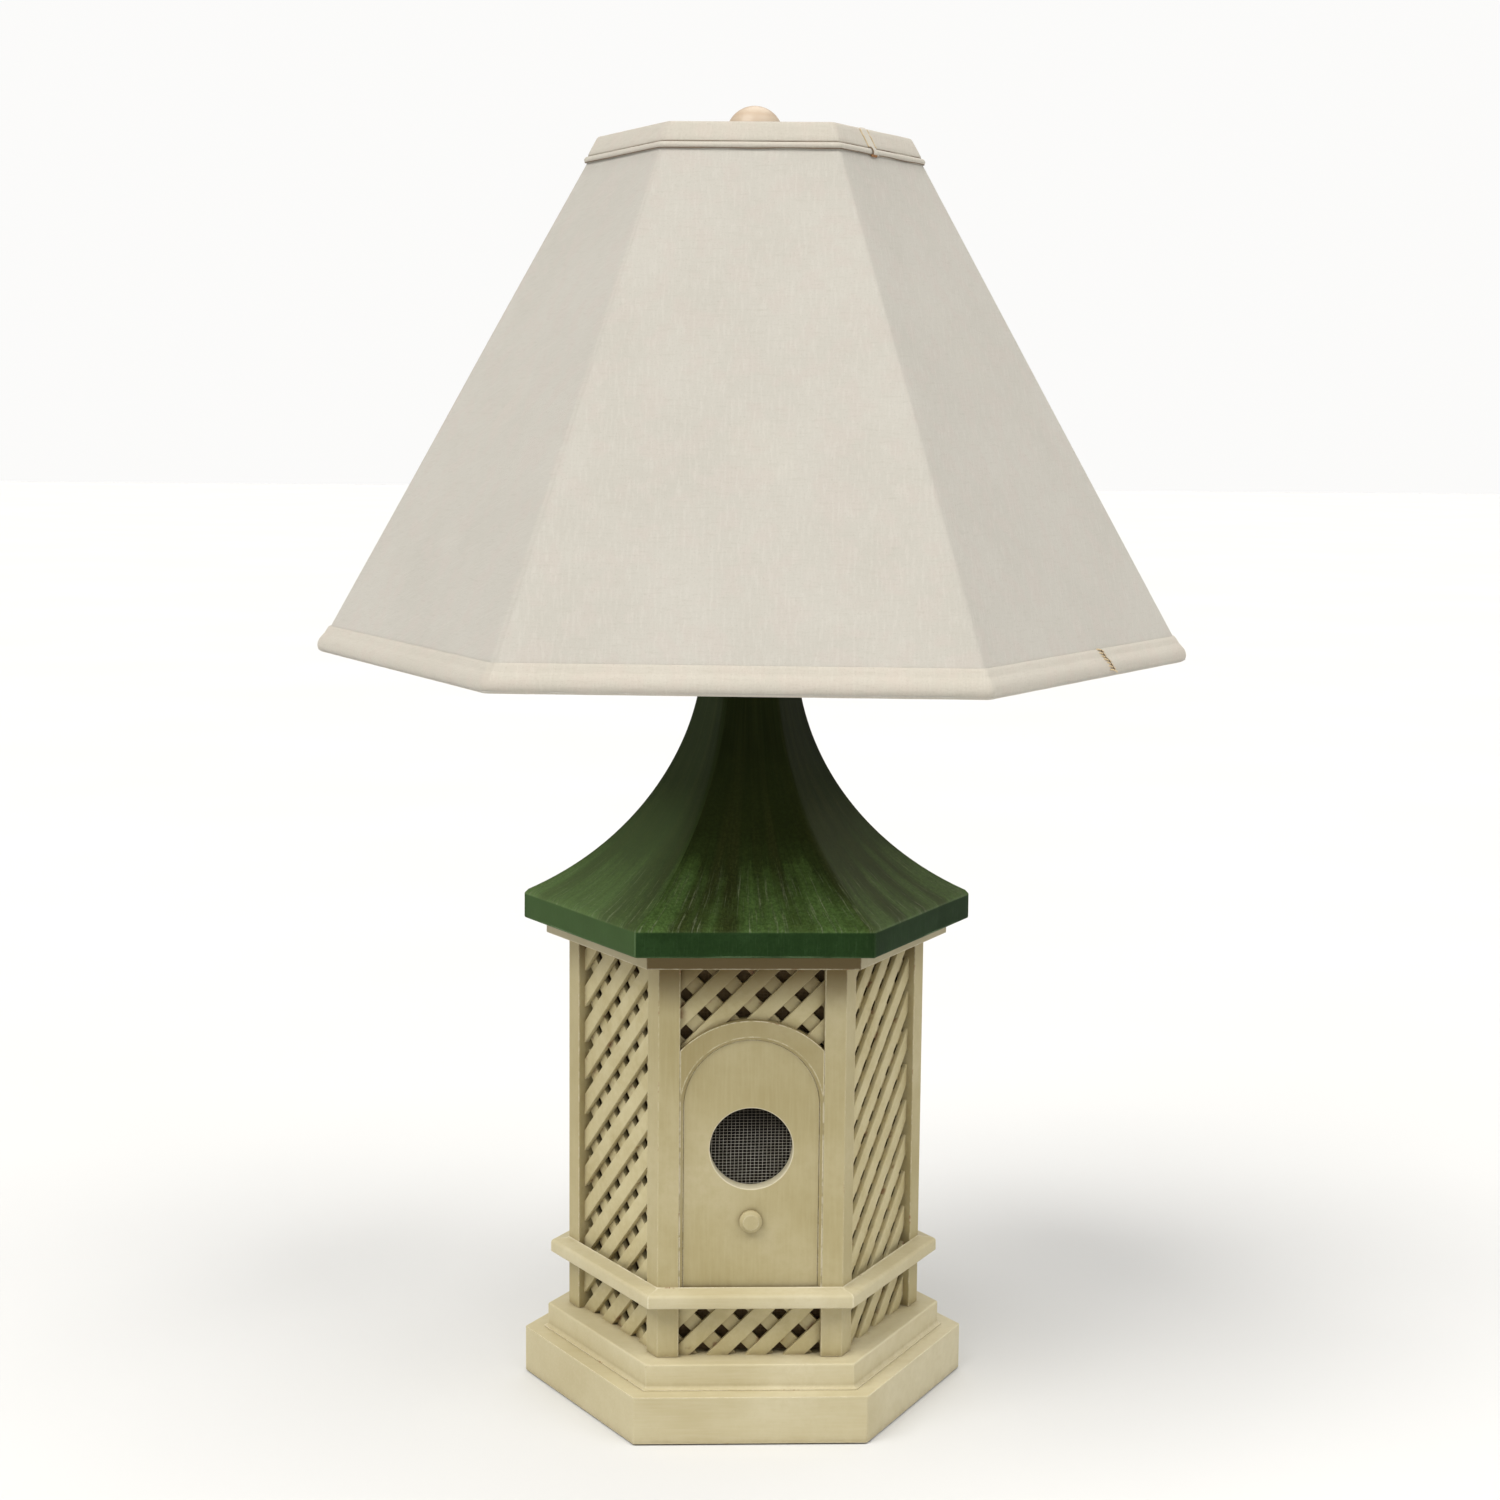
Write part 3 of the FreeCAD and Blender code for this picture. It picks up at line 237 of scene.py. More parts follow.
def eaves_shadow(coat, most):
    """How much painted shadow lies on the paint under the eaves: most on the door's side, from the eaves a
    thumb's width down.
    """
    height = coat.parts_of(coat.place)["Z"]
    outward = coat.add("ShaderNodeNewGeometry").outputs["Normal"]
    door_side = coat.spread(coat.parts_of(outward)["Y"], -0.95, -0.6, 1.0, 0.3)
    return coat.times(coat.spread(height, WALL_HIGH - 30 * MM, WALL_HIGH + 1 * MM, 0.0, most), door_side)


def slat_paint():
    """Cream paint on thin strips of wood, with bare brown wood where the brush missed the sides, painted
    shadow under the eaves and painted shade between the slats.
    """
    coat = Finish("slat_paint", 0.55, gloss=0.25)
    grain = coat.noise(260, detail=5, roughness=0.65)
    coat.colour = coat.ramp(coat.noise(45, detail=2), (0.3, (177, 164, 121)), (0.7, (191, 180, 140)))
    coat.over((203, 193, 156), coat.spread(grain, 0.35, 0.7, 0.0, 0.3))
    # painted shadow under the eaves, deepest on the faces towards the door
    coat.over((92, 75, 38), eaves_shadow(coat, 0.95))
    # painted shade on the slats behind and between the others
    coat.over((104, 80, 50), coat.crevice(4 * MM), coat.spread(grain, 0.3, 0.62, 0.05, 0.45))
    patch = coat.spread(coat.noise(120, detail=2), 0.6, 0.7)
    coat.over((112, 66, 42), coat.crevice(9 * MM), patch, 0.65)
    coat.relief(grain, 0.15 * MM, 0.5)
    return coat.done()


def roof_paint():
    """Green paint, dry-brushed down the slopes with lighter green, and darker towards the neck as painted
    shadow of the shade. The left slope and rim carry painted light, the right slope a painted grey sheen and
    the right rim painted shade.

    The roof's UV is how far across a slope a point is, from -1 to 1, and the distance up the slope.
    """
    coat = Finish("roof_paint", 0.55, gloss=0.04)
    low, high = heights("roof")
    eave_top = high - ROOF_SLOPE_HEIGHT
    height = coat.parts_of(coat.place)["Z"]
    climb = coat.spread(height, eave_top, high)
    hair = coat.noise((90, 70, 1), detail=5, roughness=0.75, on=coat.uv)
    streak = coat.noise((26, 22, 1), detail=4, roughness=0.6, on=coat.uv)
    fan = coat.noise((3.4, 4, 1), detail=2, on=coat.uv)
    cloud = coat.noise(30, detail=4, roughness=0.6)
    grain = coat.noise(620, detail=4, roughness=0.75)
    drift = coat.sum(coat.spread(cloud, 0.3, 0.7, -0.03, 0.03), coat.spread(fan, 0.3, 0.7, -0.05, 0.07))
    # greens from the eave up to the neck, darker upward: painted shadow of the shade
    greens = ((0.0, (88, 116, 60)), (0.04, (74, 97, 47)), (0.11, (47, 60, 25)), (0.24, (35, 43, 15)),
              (0.7, (19, 24, 5)))
    coat.colour = coat.ramp(coat.sum(climb, drift), *greens)
    coat.over((60, 62, 30), coat.spread(fan, 0.45, 0.65), coat.spread(climb, 0.0, 0.5, 0.5, 0.2))
    coat.over((32, 40, 16), coat.spread(streak, 0.45, 0.65), coat.spread(climb, 0.0, 0.35, 0.25, 0.4))
    coat.over((112, 134, 84), coat.spread(hair, 0.5, 0.72), coat.spread(climb, 0.0, 0.22, 0.5, 0.02))
    wisps = coat.times(coat.spread(streak, 0.5, 0.66), coat.spread(hair, 0.42, 0.62))
    coat.over((160, 170, 136), wisps, coat.spread(climb, 0.0, 0.12, 0.7, 0.0))
    coat.over((20, 26, 8), coat.spread(grain, 0.35, 0.65, 0.0, 0.45))
    # painted light on the left slope, strongest low down and weaker by the front ridge; a painted grey sheen
    # on the right slope
    across = coat.parts_of(coat.uv)["X"]
    left_slope = coat.spread(across, 8.9, 9.1)
    right_slope = coat.times(coat.spread(across, 0.9, 1.1), coat.spread(across, 2.9, 3.1, 1.0, 0.0))
    lit = coat.times(left_slope, coat.spread(climb, 0.0, 0.5, 0.42, 0.07))
    coat.over((110, 134, 86), lit, coat.spread(across, 10.2, 11.0, 1.0, 0.45))
    coat.over((88, 94, 72), right_slope, coat.spread(climb, 0.0, 0.5, 0.42, 0.0))
    slopes = coat.colour
    coat.colour = coat.ramp(cloud, (0.3, (30, 50, 23)), (0.5, (35, 58, 27)), (0.75, (46, 71, 38)))
    coat.over((84, 108, 74), coat.spread(hair, 0.5, 0.8, 0.0, 0.3))
    coat.over((22, 38, 18), coat.spread(grain, 0.4, 0.7, 0.0, 0.3))
    # painted light on the left rim and painted shade on the right rim
    coat.over((88, 112, 66), left_slope, 0.38)
    coat.over((22, 34, 18), right_slope, 0.5)
    rim = coat.spread(height, eave_top - 1.5 * MM, eave_top - 0.3 * MM, 1.0, 0.0)
    coat.colour = coat.blend(rim, slopes, coat.colour)
    # light edges: partly real wear, partly painted highlight
    coat.over((128, 150, 114), coat.edge(1.2 * MM), coat.spread(cloud, 0.35, 0.6, 0.25, 0.8))
    coat.set("Roughness", coat.spread(hair, 0.3, 0.7, 0.5, 0.68))
    coat.relief(coat.sum(coat.times(hair, 0.4), coat.times(grain, 0.6)), 0.2 * MM, 0.6)
    return coat.done()


def linen(name, shades, glow):
    """Plain-woven linen with slubs. Its UV is metres along and across the cloth."""
    coat = Finish(name, 0.85, gloss=0.15)
    waves = []
    for axis in "XY":
        turn = coat.times(coat.parts_of(coat.uv)[axis], math.tau / (0.62 * MM))
        waves.append(coat.add("ShaderNodeMath", {0: turn}, operation="SINE").outputs[0])
    upright = coat.noise((640, 90, 1), detail=4, roughness=0.65, on=coat.uv)
    level = coat.noise((90, 640, 1), detail=4, roughness=0.65, on=coat.uv)
    flecks = coat.noise(900, detail=4, roughness=0.7, on=coat.uv)
    coat.colour, light, dark, pink = shades
    coat.over(light, coat.spread(coat.noise(16), 0.3, 0.7, 0.0, 0.4))
    coat.over(pink, coat.spread(coat.noise(75, detail=2), 0.45, 0.65, 0.0, 0.6))
    coat.over(light, coat.spread(upright, 0.45, 0.7, 0.0, 0.55))
    coat.over(dark, coat.spread(level, 0.5, 0.75, 0.0, 0.28))
    coat.over(dark, coat.spread(flecks, 0.5, 0.75, 0.0, 0.5))
    coat.set("Sheen Weight", 0.15)
    shares = ((coat.times(*waves), 0.25), (upright, 0.5), (level, 0.5), (flecks, 0.3))
    coat.relief(coat.sum(*(coat.times(*pair) for pair in shares)), 0.25 * MM, 0.6)
    through = coat.add("ShaderNodeBsdfTranslucent", {"Color": coat.colour}).outputs[0]
    shared = coat.add("ShaderNodeMixShader", {0: glow, 1: coat.shader.outputs[0], 2: through})
    coat.feed(coat.tree.nodes["Material Output"].inputs["Surface"], shared.outputs[0])
    return coat.done()


def metal(name, colour, tarnish, roughness):
    """Plain metal with faint lathe marks and patches of tarnish."""
    coat = Finish(name, roughness, metallic=1.0)
    patch = coat.noise(120, detail=5, roughness=0.65)
    marks = coat.noise(400, detail=2)
    coat.colour = coat.blend(coat.spread(patch, 0.45, 0.7, 0.0, 0.7), colour, tarnish)
    dull = coat.spread(patch, 0.3, 0.7, roughness - 0.08, roughness + 0.15)
    coat.set("Roughness", coat.sum(dull, coat.spread(marks, 0.4, 0.7, 0.0, 0.06)))
    coat.relief(coat.noise((20, 20, 2500), detail=2), 0.02 * MM, 0.4)
    return coat.done()


def coated_wire():
    """White powder coat, a little pebbled and yellowed."""
    coat = Finish("white_coat", 0.4)
    coat.colour = coat.ramp(coat.noise(40), (0.3, (226, 222, 210)), (0.7, (240, 238, 230)))
    coat.relief(coat.noise(1500, detail=2), 0.05 * MM, 0.5)
    return coat.done()


def moulded(name, colour, light):
    """Moulded plastic, or thread, with a fine grain."""
    coat = Finish(name)
    coat.colour = coat.blend(coat.spread(coat.noise(90), 0.35, 0.7, 0.0, 0.5), colour, light)
    coat.relief(coat.noise(1800), 0.04 * MM, 0.6)
    return coat.done()


def near_window(coat):
    """1 behind the round window in the door, 0 elsewhere."""
    return coat.spread(from_window(coat, coat.place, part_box("door_panel")[0].y), 27 * MM, 30 * MM, 1.0, 0.0)


def dark_lining():
    """Cloth on card: brown behind the lattice, and near black behind the window as painted shade of the deep
    inside.
    """
    coat = Finish("dark_lining", 0.95, gloss=0.1)
    threads = coat.noise(700)
    coat.colour = coat.ramp(threads, (0.35, (92, 75, 52)), (0.7, (116, 96, 68)))
    coat.over((134, 113, 82), coat.spread(coat.noise(90), 0.45, 0.7, 0.0, 0.6))
    # painted shade: near black behind the round window
    coat.over(coat.ramp(threads, (0.35, (7, 6, 5)), (0.7, (13, 11, 9))), near_window(coat))
    coat.relief(threads, 0.1 * MM, 0.5)
    return coat.done()


def screen_wire():
    """Pale painted wire in the window, darker brown towards its top as painted shadow of the hole's rim, and
    dull brown behind the lattice as painted shade.
    """
    coat = Finish("screen_wire", gloss=0.3)
    dust = coat.noise(260)
    height = coat.parts_of(coat.place)["Z"]
    coat.colour = coat.ramp(dust, (0.3, (194, 188, 174)), (0.7, (224, 220, 208)))
    # painted shadow of the hole's upper rim, darker up the window
    coat.over((84, 74, 60), coat.spread(height, WINDOW_HEIGHT - 2 * MM, WINDOW_HEIGHT + 19 * MM, 0.0, 0.85))
    # painted shade: the wires behind the lattice are dull brown
    brown = coat.ramp(dust, (0.3, (106, 88, 62)), (0.7, (134, 113, 82)))
    coat.colour = coat.blend(near_window(coat), brown, coat.colour)
    return coat.done()


def felt():
    """Green felt: matted fibres."""
    coat = Finish("green_felt", 0.95)
    fibres = coat.noise(1400, detail=6, roughness=0.75, distortion=2.0)
    coat.colour = coat.ramp(fibres, (0.3, (22, 44, 30)), (0.7, (46, 78, 54)))
    coat.over((60, 84, 62), coat.spread(coat.noise(60), 0.3, 0.7, 0.0, 0.3))
    coat.set("Sheen Weight", 0.5)
    coat.relief(fibres, 0.4 * MM, 0.8)
    return coat.done()


def finial_paint():
    """Peach-cream paint over a turned wooden ball."""
    coat = Finish("finial_paint", 0.42)
    rings = coat.noise((25, 25, 420))
    coat.colour = coat.ramp(coat.noise(70), (0.3, (187, 166, 143)), (0.7, (195, 178, 156)))
    coat.over((178, 152, 126), coat.spread(rings, 0.4, 0.7, 0.0, 0.35))
    # painted shade in the hollow at the foot of the ball
    coat.over((130, 92, 64), coat.crevice(5 * MM), 0.5)
    coat.relief(rings, 0.08 * MM, 0.5)
    return coat.done()


def frosted_glass():
    """A soft-white bulb: glass with a thin powder coat inside."""
    coat = Finish("frosted_glass", 0.22)
    powder = coat.noise(700)
    coat.colour = coat.ramp(powder, (0.3, (232, 232, 226)), (0.7, (246, 246, 242)))
    for name, amount in (("Transmission Weight", 0.35), ("Coat Weight", 0.8), ("Coat Roughness", 0.05)):
        coat.set(name, amount)
    coat.relief(powder, 0.01 * MM, 0.3)
    return coat.done()


LINEN_SHADES = ((199, 195, 185), (211, 207, 198), (182, 177, 164), (204, 196, 187))
TRIM_SHADES = ((198, 192, 179), (208, 202, 190), (178, 170, 155), (202, 192, 180))
# The upright and crown tones are darker copies of the same cream: painted shade on the walls, and deeper
# painted shade on the door's surround.
UPRIGHT_SHADED_TONES = ((162, 149, 106), (173, 161, 121), (184, 173, 137))
CROWN_SHADED_TONES = ((150, 136, 93), (160, 147, 106), (170, 158, 121))
LEVEL_SHADES = ((180, 168, 131), (190, 180, 146), (200, 191, 161))
UPRIGHT_STROKES, LEVEL_STROKES = (700, 700, 40), (40, 700, 700)

MATERIALS = {
    "upright": cream_paint("cream_upright_shaded", UPRIGHT_STROKES, UPRIGHT_SHADED_TONES),
    "crown": cream_paint("cream_crown_shaded", UPRIGHT_STROKES, CROWN_SHADED_TONES, wear_and_highlight=1.6),
    "level": cream_paint("cream_level", LEVEL_STROKES, LEVEL_SHADES),
    "slats": slat_paint(),
    "roof": roof_paint(),
    "linen": linen("shade_linen", LINEN_SHADES, 0.2),
    "trim": linen("trim_linen", TRIM_SHADES, 0.12),
    "lining": coated_wire(),
    "wire": coated_wire(),
    "thread": moulded("tan_thread", (198, 176, 136), (218, 200, 166)),
    "brown_thread": moulded("brown_thread", (104, 86, 66), (134, 112, 86)),
    "stained": moulded("stained_thread", (142, 98, 56), (172, 126, 82)),
    "brass": metal("brass", (206, 168, 92), (150, 112, 58), 0.28),
    "harp": metal("harp_brass", (212, 180, 112), (160, 124, 70), 0.3),
    "zinc": metal("zinc", (190, 190, 186), (140, 138, 132), 0.42),
    "screen": screen_wire(),
    "tin": metal("bulb_tin", (214, 214, 212), (170, 168, 164), 0.25),
    "black": moulded("phenolic", (20, 18, 17), (34, 30, 28)),
    "brown": moulded("brown_plastic", (58, 40, 28), (78, 56, 40)),
    "felt": felt(),
    "card": dark_lining(),
    "finial": finial_paint(),
    "glass": frosted_glass(),
}


# ---- mesh helpers ----


def piece(name, vertices, faces, material, body, uvs=None, **more):
    """A mesh piece that rides on a body. uvs has one (u, v) for each corner of each face, in order."""
    mesh = bpy.data.meshes.new(name)
    mesh.from_pydata([tuple(vertex) for vertex in vertices], [], faces)
    if uvs is not None:
        layer = mesh.uv_layers.new(name="UVMap")
        layer.data.foreach_set("uv", np.asarray(uvs, float).ravel())
    return finished(name, mesh, material, body, **more)


def finished(name, mesh, material, body, replaces=(), slot=None, crisp=35):
    """The object for a mesh, shaded smooth apart from edges sharper than crisp degrees."""
    mesh.materials.append(MATERIALS[material])
    mesh.validate()
    mesh.shade_smooth()
    mesh.set_sharp_from_angle(angle=math.radians(crisp))
    thing = bpy.data.objects.new(name, mesh)
    bpy.context.scene.collection.objects.link(thing)
    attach(thing, body)
    if replaces:
        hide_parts(*replaces)
    return thing


def beside(number, distance, shift, yaw=0.0):
    """(x, y) at a distance square to one side of a hexagon, and shifted along that side."""
    angle = math.radians(FRONT + 60 * number + yaw)
    out_x, out_y = math.cos(angle), math.sin(angle)
    return out_x * distance - out_y * shift, out_y * distance + out_x * shift


def offsets(distance, height, *points):
    """Profile points in metres, given in millimetres out from a distance and up from a height."""
    return [(distance + out * MM, height + up * MM) for out, up in points]


def arc(centre, radius, start, end, steps):
    """Points from one angle to another, in degrees."""
    angles = [math.radians(start + (end - start) * step / steps) for step in range(steps + 1)]
    return [(centre[0] + radius * math.cos(angle), centre[1] + radius * math.sin(angle)) for angle in angles]


def band(first, second, count):
    """The faces between two closed rows of points, given the index that each row starts at."""
    steps = [(step, (step + 1) % count) for step in range(count)]
    return [(first + step, first + after, second + after, second + step) for step, after in steps]


def hexagon_row(apothem, rounding, flat_steps, arc_steps, yaw):
    """Points round a hexagon with rounded corners, as (x, y, the side's number, place along the side)."""
    inner = max(apothem - rounding, 1e-6)
    half = inner * TAN30
    row = []
    for number in SIDES:
        for step in range(flat_steps + 1):
            shift = half * (2 * step / flat_steps - 1)
            row.append((*beside(number, apothem, shift, yaw), number, shift))
        start = FRONT + 60 * number + yaw
        corner = arc(beside(number, inner, half, yaw), rounding, start, start + 60, arc_steps)[1:-1]
        for step, point in enumerate(corner, 1):
            row.append((*point, number, half + rounding * math.radians(60 * step / arc_steps)))
    return row


def hexagon_loft(name, profile, rounding, material, body, yaw=0.0, closed=False, fan=False, flat_steps=6,
                 arc_steps=4, wobble=None, **more):
    """A hexagonal ring or roof: the profile, (distance square to a side, height), carried round six sides.

    rounding is the radius of the corners, one value or one for each profile point. The UV is metres along the
    sides and along the profile, or with fan the first goes from -1 to 1 across each side.
    """
    roundings = rounding if isinstance(rounding, list) else [rounding] * len(profile)
    rises = [0.0]
    for before, after in zip(profile, profile[1:] + profile[:1]):
        rises.append(rises[-1] + math.dist(before, after))
    vertices, across = [], []
    for (apothem, height), radius in zip(profile, roundings):
        row = hexagon_row(apothem, radius, flat_steps, arc_steps, yaw)
        side = 2 * apothem * TAN30
        for x, y, number, shift in row:
            push = 1 + wobble(x, y, height) / math.hypot(x, y) if wobble else 1
            vertices.append((x * push, y * push, height))
        unit, wide = (side / 2, 2) if fan else (1, side)
        places = [number * wide + shift / unit for _, _, number, shift in row]
        across.append(places + [places[0] + 6 * wide])
    count = len(row)
    faces, uvs = [], []
    for first in range(len(profile) if closed else len(profile) - 1):
        second = (first + 1) % len(profile)
        faces += band(first * count, second * count, count)
        low, high = rises[first], rises[first + 1]
        for step in range(count):
            uvs += [(across[first][step], low), (across[first][step + 1], low)]
            uvs += [(across[second][step + 1], high), (across[second][step], high)]
    return piece(name, vertices, faces, material, body, uvs=uvs, **more)


def mitred_strip(name, profile, number, material, body, **more):
    """One straight side of a hexagonal moulding, its ends cut on the corners."""
    ends = ((sign * TAN30, *point) for sign in (-1, 1) for point in profile)
    vertices = [(*beside(number, apothem, share * apothem), height) for share, apothem, height in ends]
    count = len(profile)
    faces = [tuple(range(count))[::-1], tuple(range(count, 2 * count)), *band(0, count, count)]
    return piece(name, vertices, faces, material, body, **more)


def lathe(name, profile, material, body, segments=64, middle=(0, 0, 0), tilt=0, **more):
    """A turned piece: the profile, (radius, height), spun about Z, tilted about X and moved to middle."""
    turn = Matrix.Rotation(math.radians(tilt), 3, "X")
    vertices, faces, rings = [], [], []
    for radius, height in profile:
        count = segments if radius > 1e-7 else 1
        rings.append([len(vertices) + step % count for step in range(segments)])
        for step in range(count):
            angle = math.tau * step / segments
            spot = Vector((radius * math.cos(angle), radius * math.sin(angle), height))
            vertices.append(turn @ spot + Vector(middle))
    for lower, upper in zip(rings, rings[1:]):
        for step in range(segments):
            after = (step + 1) % segments
            face = tuple(dict.fromkeys((lower[step], lower[after], upper[after], upper[step])))
            if len(face) > 2:
                faces.append(face)
    return piece(name, vertices, faces, material, body, **more)


def tube(points, radius, closed=False, sides=12):
    """Vertices and faces of a round wire along points."""
    points = [Vector(point) for point in points]
    count = len(points)
    vertices, faces, normal = [], [], None
    for index, point in enumerate(points):
        before = points[index - 1] if closed or index else point
        after = points[(index + 1) % count] if closed or index < count - 1 else point
        forward = (after - before).normalized()
        if normal is None:
            normal = forward.orthogonal().normalized()
        normal = (normal - forward * normal.dot(forward)).normalized()
        aside = forward.cross(normal)
        for step in range(sides):
            angle = math.tau * step / sides
            vertices.append(point + (normal * math.cos(angle) + aside * math.sin(angle)) * radius)
    for index in range(count if closed else count - 1):
        faces += band(index * sides, (index + 1) % count * sides, sides)
    if not closed:
        faces.append(tuple(range(sides))[::-1])
        faces.append(tuple(range((count - 1) * sides, count * sides)))
    return vertices, faces


def wires(name, tubes, material, body, slot, **more):
    """One piece made of several round wires."""
    vertices, faces = [], []
    for more_vertices, more_faces in tubes:
        faces += [tuple(len(vertices) + corner for corner in face) for face in more_faces]
        vertices += more_vertices
    return piece(name, vertices, faces, material, body, slot=slot, **more)


def repainted(node, material):
    """A CAD node in a new material."""
    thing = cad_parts[node]
    thing.data.materials.clear()
    thing.data.materials.append(MATERIALS[material])
    return thing


def softened(node, material, width, segments=3):
    """A CAD node that keeps its shape, with its sharp edges rounded a little."""
    thing = repainted(node, material)
    thing.modifiers.new("weld", "WELD").merge_threshold = 0.001 * MM
    bevel = thing.modifiers.new("bevel", "BEVEL")
    bevel.width, bevel.segments = width, segments
    bevel.limit_method = "ANGLE"
    bevel.angle_limit = math.radians(32)


def thickened(thing, thickness):
    """A sheet given its thickness on the inside."""
    solid = thing.modifiers.new("thickness", "SOLIDIFY")
    solid.thickness = thickness
    solid.offset = -1
    return thing


# ---- plinth and walls ----

CORE = 6 * MM  # the lofted solids are open inside this distance from the axis


def make_plinth():
    softened("plinth_lower", "level", 1.6 * MM, 4)
    low, high = heights("plinth_upper")
    wall = reach("plinth_upper", FRONT, low=high - MM)
    foot = reach("plinth_upper", FRONT, high=low + MM)
    cove, edge, lip = foot - wall, 1.1 * MM, 0.4 * MM
    profile = [(CORE, low), (foot, low), (foot, low + lip)]
    profile += arc((foot, low + lip + cove), cove, 270, 180, 6)[1:]
    profile += arc((wall - edge, high - edge), edge, 0, 90, 5)
    profile += [(CORE, high)]
    hexagon_loft("upper_step", profile, 1.0 * MM, "level", "lamp", replaces=["plinth_upper"],
                 slot="cream_paint")
    repainted("felt_pad", "felt")
    repainted("plinth_screws", "zinc")


def make_walls():
    for number in SIDES:
        softened(f"corner_post_{number + 1}", "upright", 0.5 * MM, 2)
    low, high = heights("waist_rail_1")
    outer = reach("waist_rail_1", FRONT)
    lower_edge, upper_edge = 0.9 * MM, 2.2 * MM
    profile = [(WALL, low)]
    profile += arc((outer - lower_edge, low + lower_edge), lower_edge, -90, 0, 4)
    profile += arc((outer - upper_edge, high - upper_edge - 0.3 * MM), upper_edge, 0, 80, 6)
    profile += offsets(WALL, high, (1.4, 0.2), (0, 1.2))
    for number in SIDES:
        mitred_strip(f"rail_{number + 1}", profile, number, "level", "lamp",
                     replaces=[f"waist_rail_{number + 1}"], slot="cream_paint")


SLAT_WIDTH, SLAT_PITCH, SLAT_THICKNESS, SLAT_SETBACK = 8.3 * MM, 20.7 * MM, 2.8 * MM, 3.6 * MM
SLAT_REACH = 200 * MM  # the uncut slats run this far each way from a wall's middle
RISING_CROSSING, FALLING_CROSSING = 244.3 * MM, 213.7 * MM  # heights where a slat crosses a wall's middle
CROWN_MIDDLE = 173.3 * MM  # the height of the middle of the arch in the door's surround
CROWN_CUT = 50.2 * MM  # the slats over the door start this far from that middle
SEAT = 0.3 * MM  # how far slats run into what they meet
DROPS = {1: 2.6 * MM, 5: 5.2 * MM}  # the lattices beside the door's wall hang lower


def clip_to_opening(polygon, half, low, high):
    """The part of a polygon, (across, height), that is inside a wall's opening, or nothing."""
    for axis, limit, sign in ((0, half, 1), (0, -half, -1), (1, high, 1), (1, low, -1)):
        kept = []
        for start, end in zip(polygon, polygon[1:] + polygon[:1]):
            starts_inside, ends_inside = ((point[axis] - limit) * sign <= 0 for point in (start, end))
            if starts_inside:
                kept.append(start)
            if starts_inside != ends_inside:
                share = (limit - start[axis]) / (end[axis] - start[axis])
                kept.append(tuple(a + share * (b - a) for a, b in zip(start, end)))
        if len(kept) < 3:
            return []
        polygon = kept
    return polygon


def slat_outline(crossing, rising, low, high, crown, chance):
    """The corners (across, height) of one slat, cut to the opening and to the door's surround."""
    tilt = chance.uniform(-0.35, 0.35)
    lean = math.radians(45 + tilt if rising else 135 + tilt)
    across, up = math.cos(lean), math.sin(lean)
    middle = crossing + chance.uniform(-0.25, 0.25) * MM
    start, half = -SLAT_REACH, SLAT_WIDTH / 2
    gap = middle - CROWN_MIDDLE
    if crown and abs(gap * across) < CROWN_CUT:
        start = math.sqrt(CROWN_CUT**2 - (gap * across) ** 2) - gap * up
    corners = ((start, -half), (SLAT_REACH, -half), (SLAT_REACH, half), (start, half))
    polygon = [(across * run - up * shift, middle + up * run + across * shift) for run, shift in corners]
    return clip_to_opening(polygon, OPENING + SEAT, low - SEAT, high + SEAT)


def lattice(name, number, low, high, node, crown=False):
    """Two crossed layers of thin slats in one wall, each slat a hair out of line."""
    chance = random.Random(number * 10 + (5 if crown else 0))
    span = OPENING + SLAT_WIDTH
    mesh = bmesh.new()
    for rising, crossing, depth in (
        (True, RISING_CROSSING, SLAT_SETBACK),
        (False, FALLING_CROSSING, SLAT_SETBACK + SLAT_THICKNESS),
    ):
        phase = crossing - DROPS.get(number, 0)
        first = math.ceil((low - span - phase) / SLAT_PITCH)
        last = math.floor((high + span - phase) / SLAT_PITCH)
        for step in range(first, last + 1):
            outline = slat_outline(phase + step * SLAT_PITCH, rising, low, high, crown, chance)
            if not outline:
                continue
            face = WALL - depth - chance.uniform(-0.12, 0.12) * MM
            front, back = (
                [mesh.verts.new((*beside(number, distance, x), z)) for x, z in outline]
                for distance in (face, face - SLAT_THICKNESS)
            )
            mesh.faces.new(front)
            mesh.faces.new(back[::-1])
            for index in range(len(outline)):
                after = (index + 1) % len(outline)
                mesh.faces.new((front[after], front[index], back[index], back[after]))
    bmesh.ops.recalc_face_normals(mesh, faces=mesh.faces)
    bmesh.ops.bevel(mesh, geom=list(mesh.edges), offset=0.4 * MM, segments=2, affect="EDGES", profile=0.5,
                    clamp_overlap=True)
    data = bpy.data.meshes.new(name)
    mesh.to_mesh(data)
    mesh.free()
    finished(name, data, "slats", "lamp", replaces=[node], slot="cream_paint", crisp=50)


def make_lattice():
    for number in SIDES[1:]:
        lattice(f"lattice_{number + 1}", number, WALL_LOW, WALL_HIGH, f"lattice_panel_{number + 1}")
    lattice("lattice_over_door", 0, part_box("lattice_arch")[0].z, WALL_HIGH, "lattice_arch", crown=True)
    lattice("lattice_under_rail", 0, *heights("lattice_foot"), "lattice_foot")


# ---- door ----


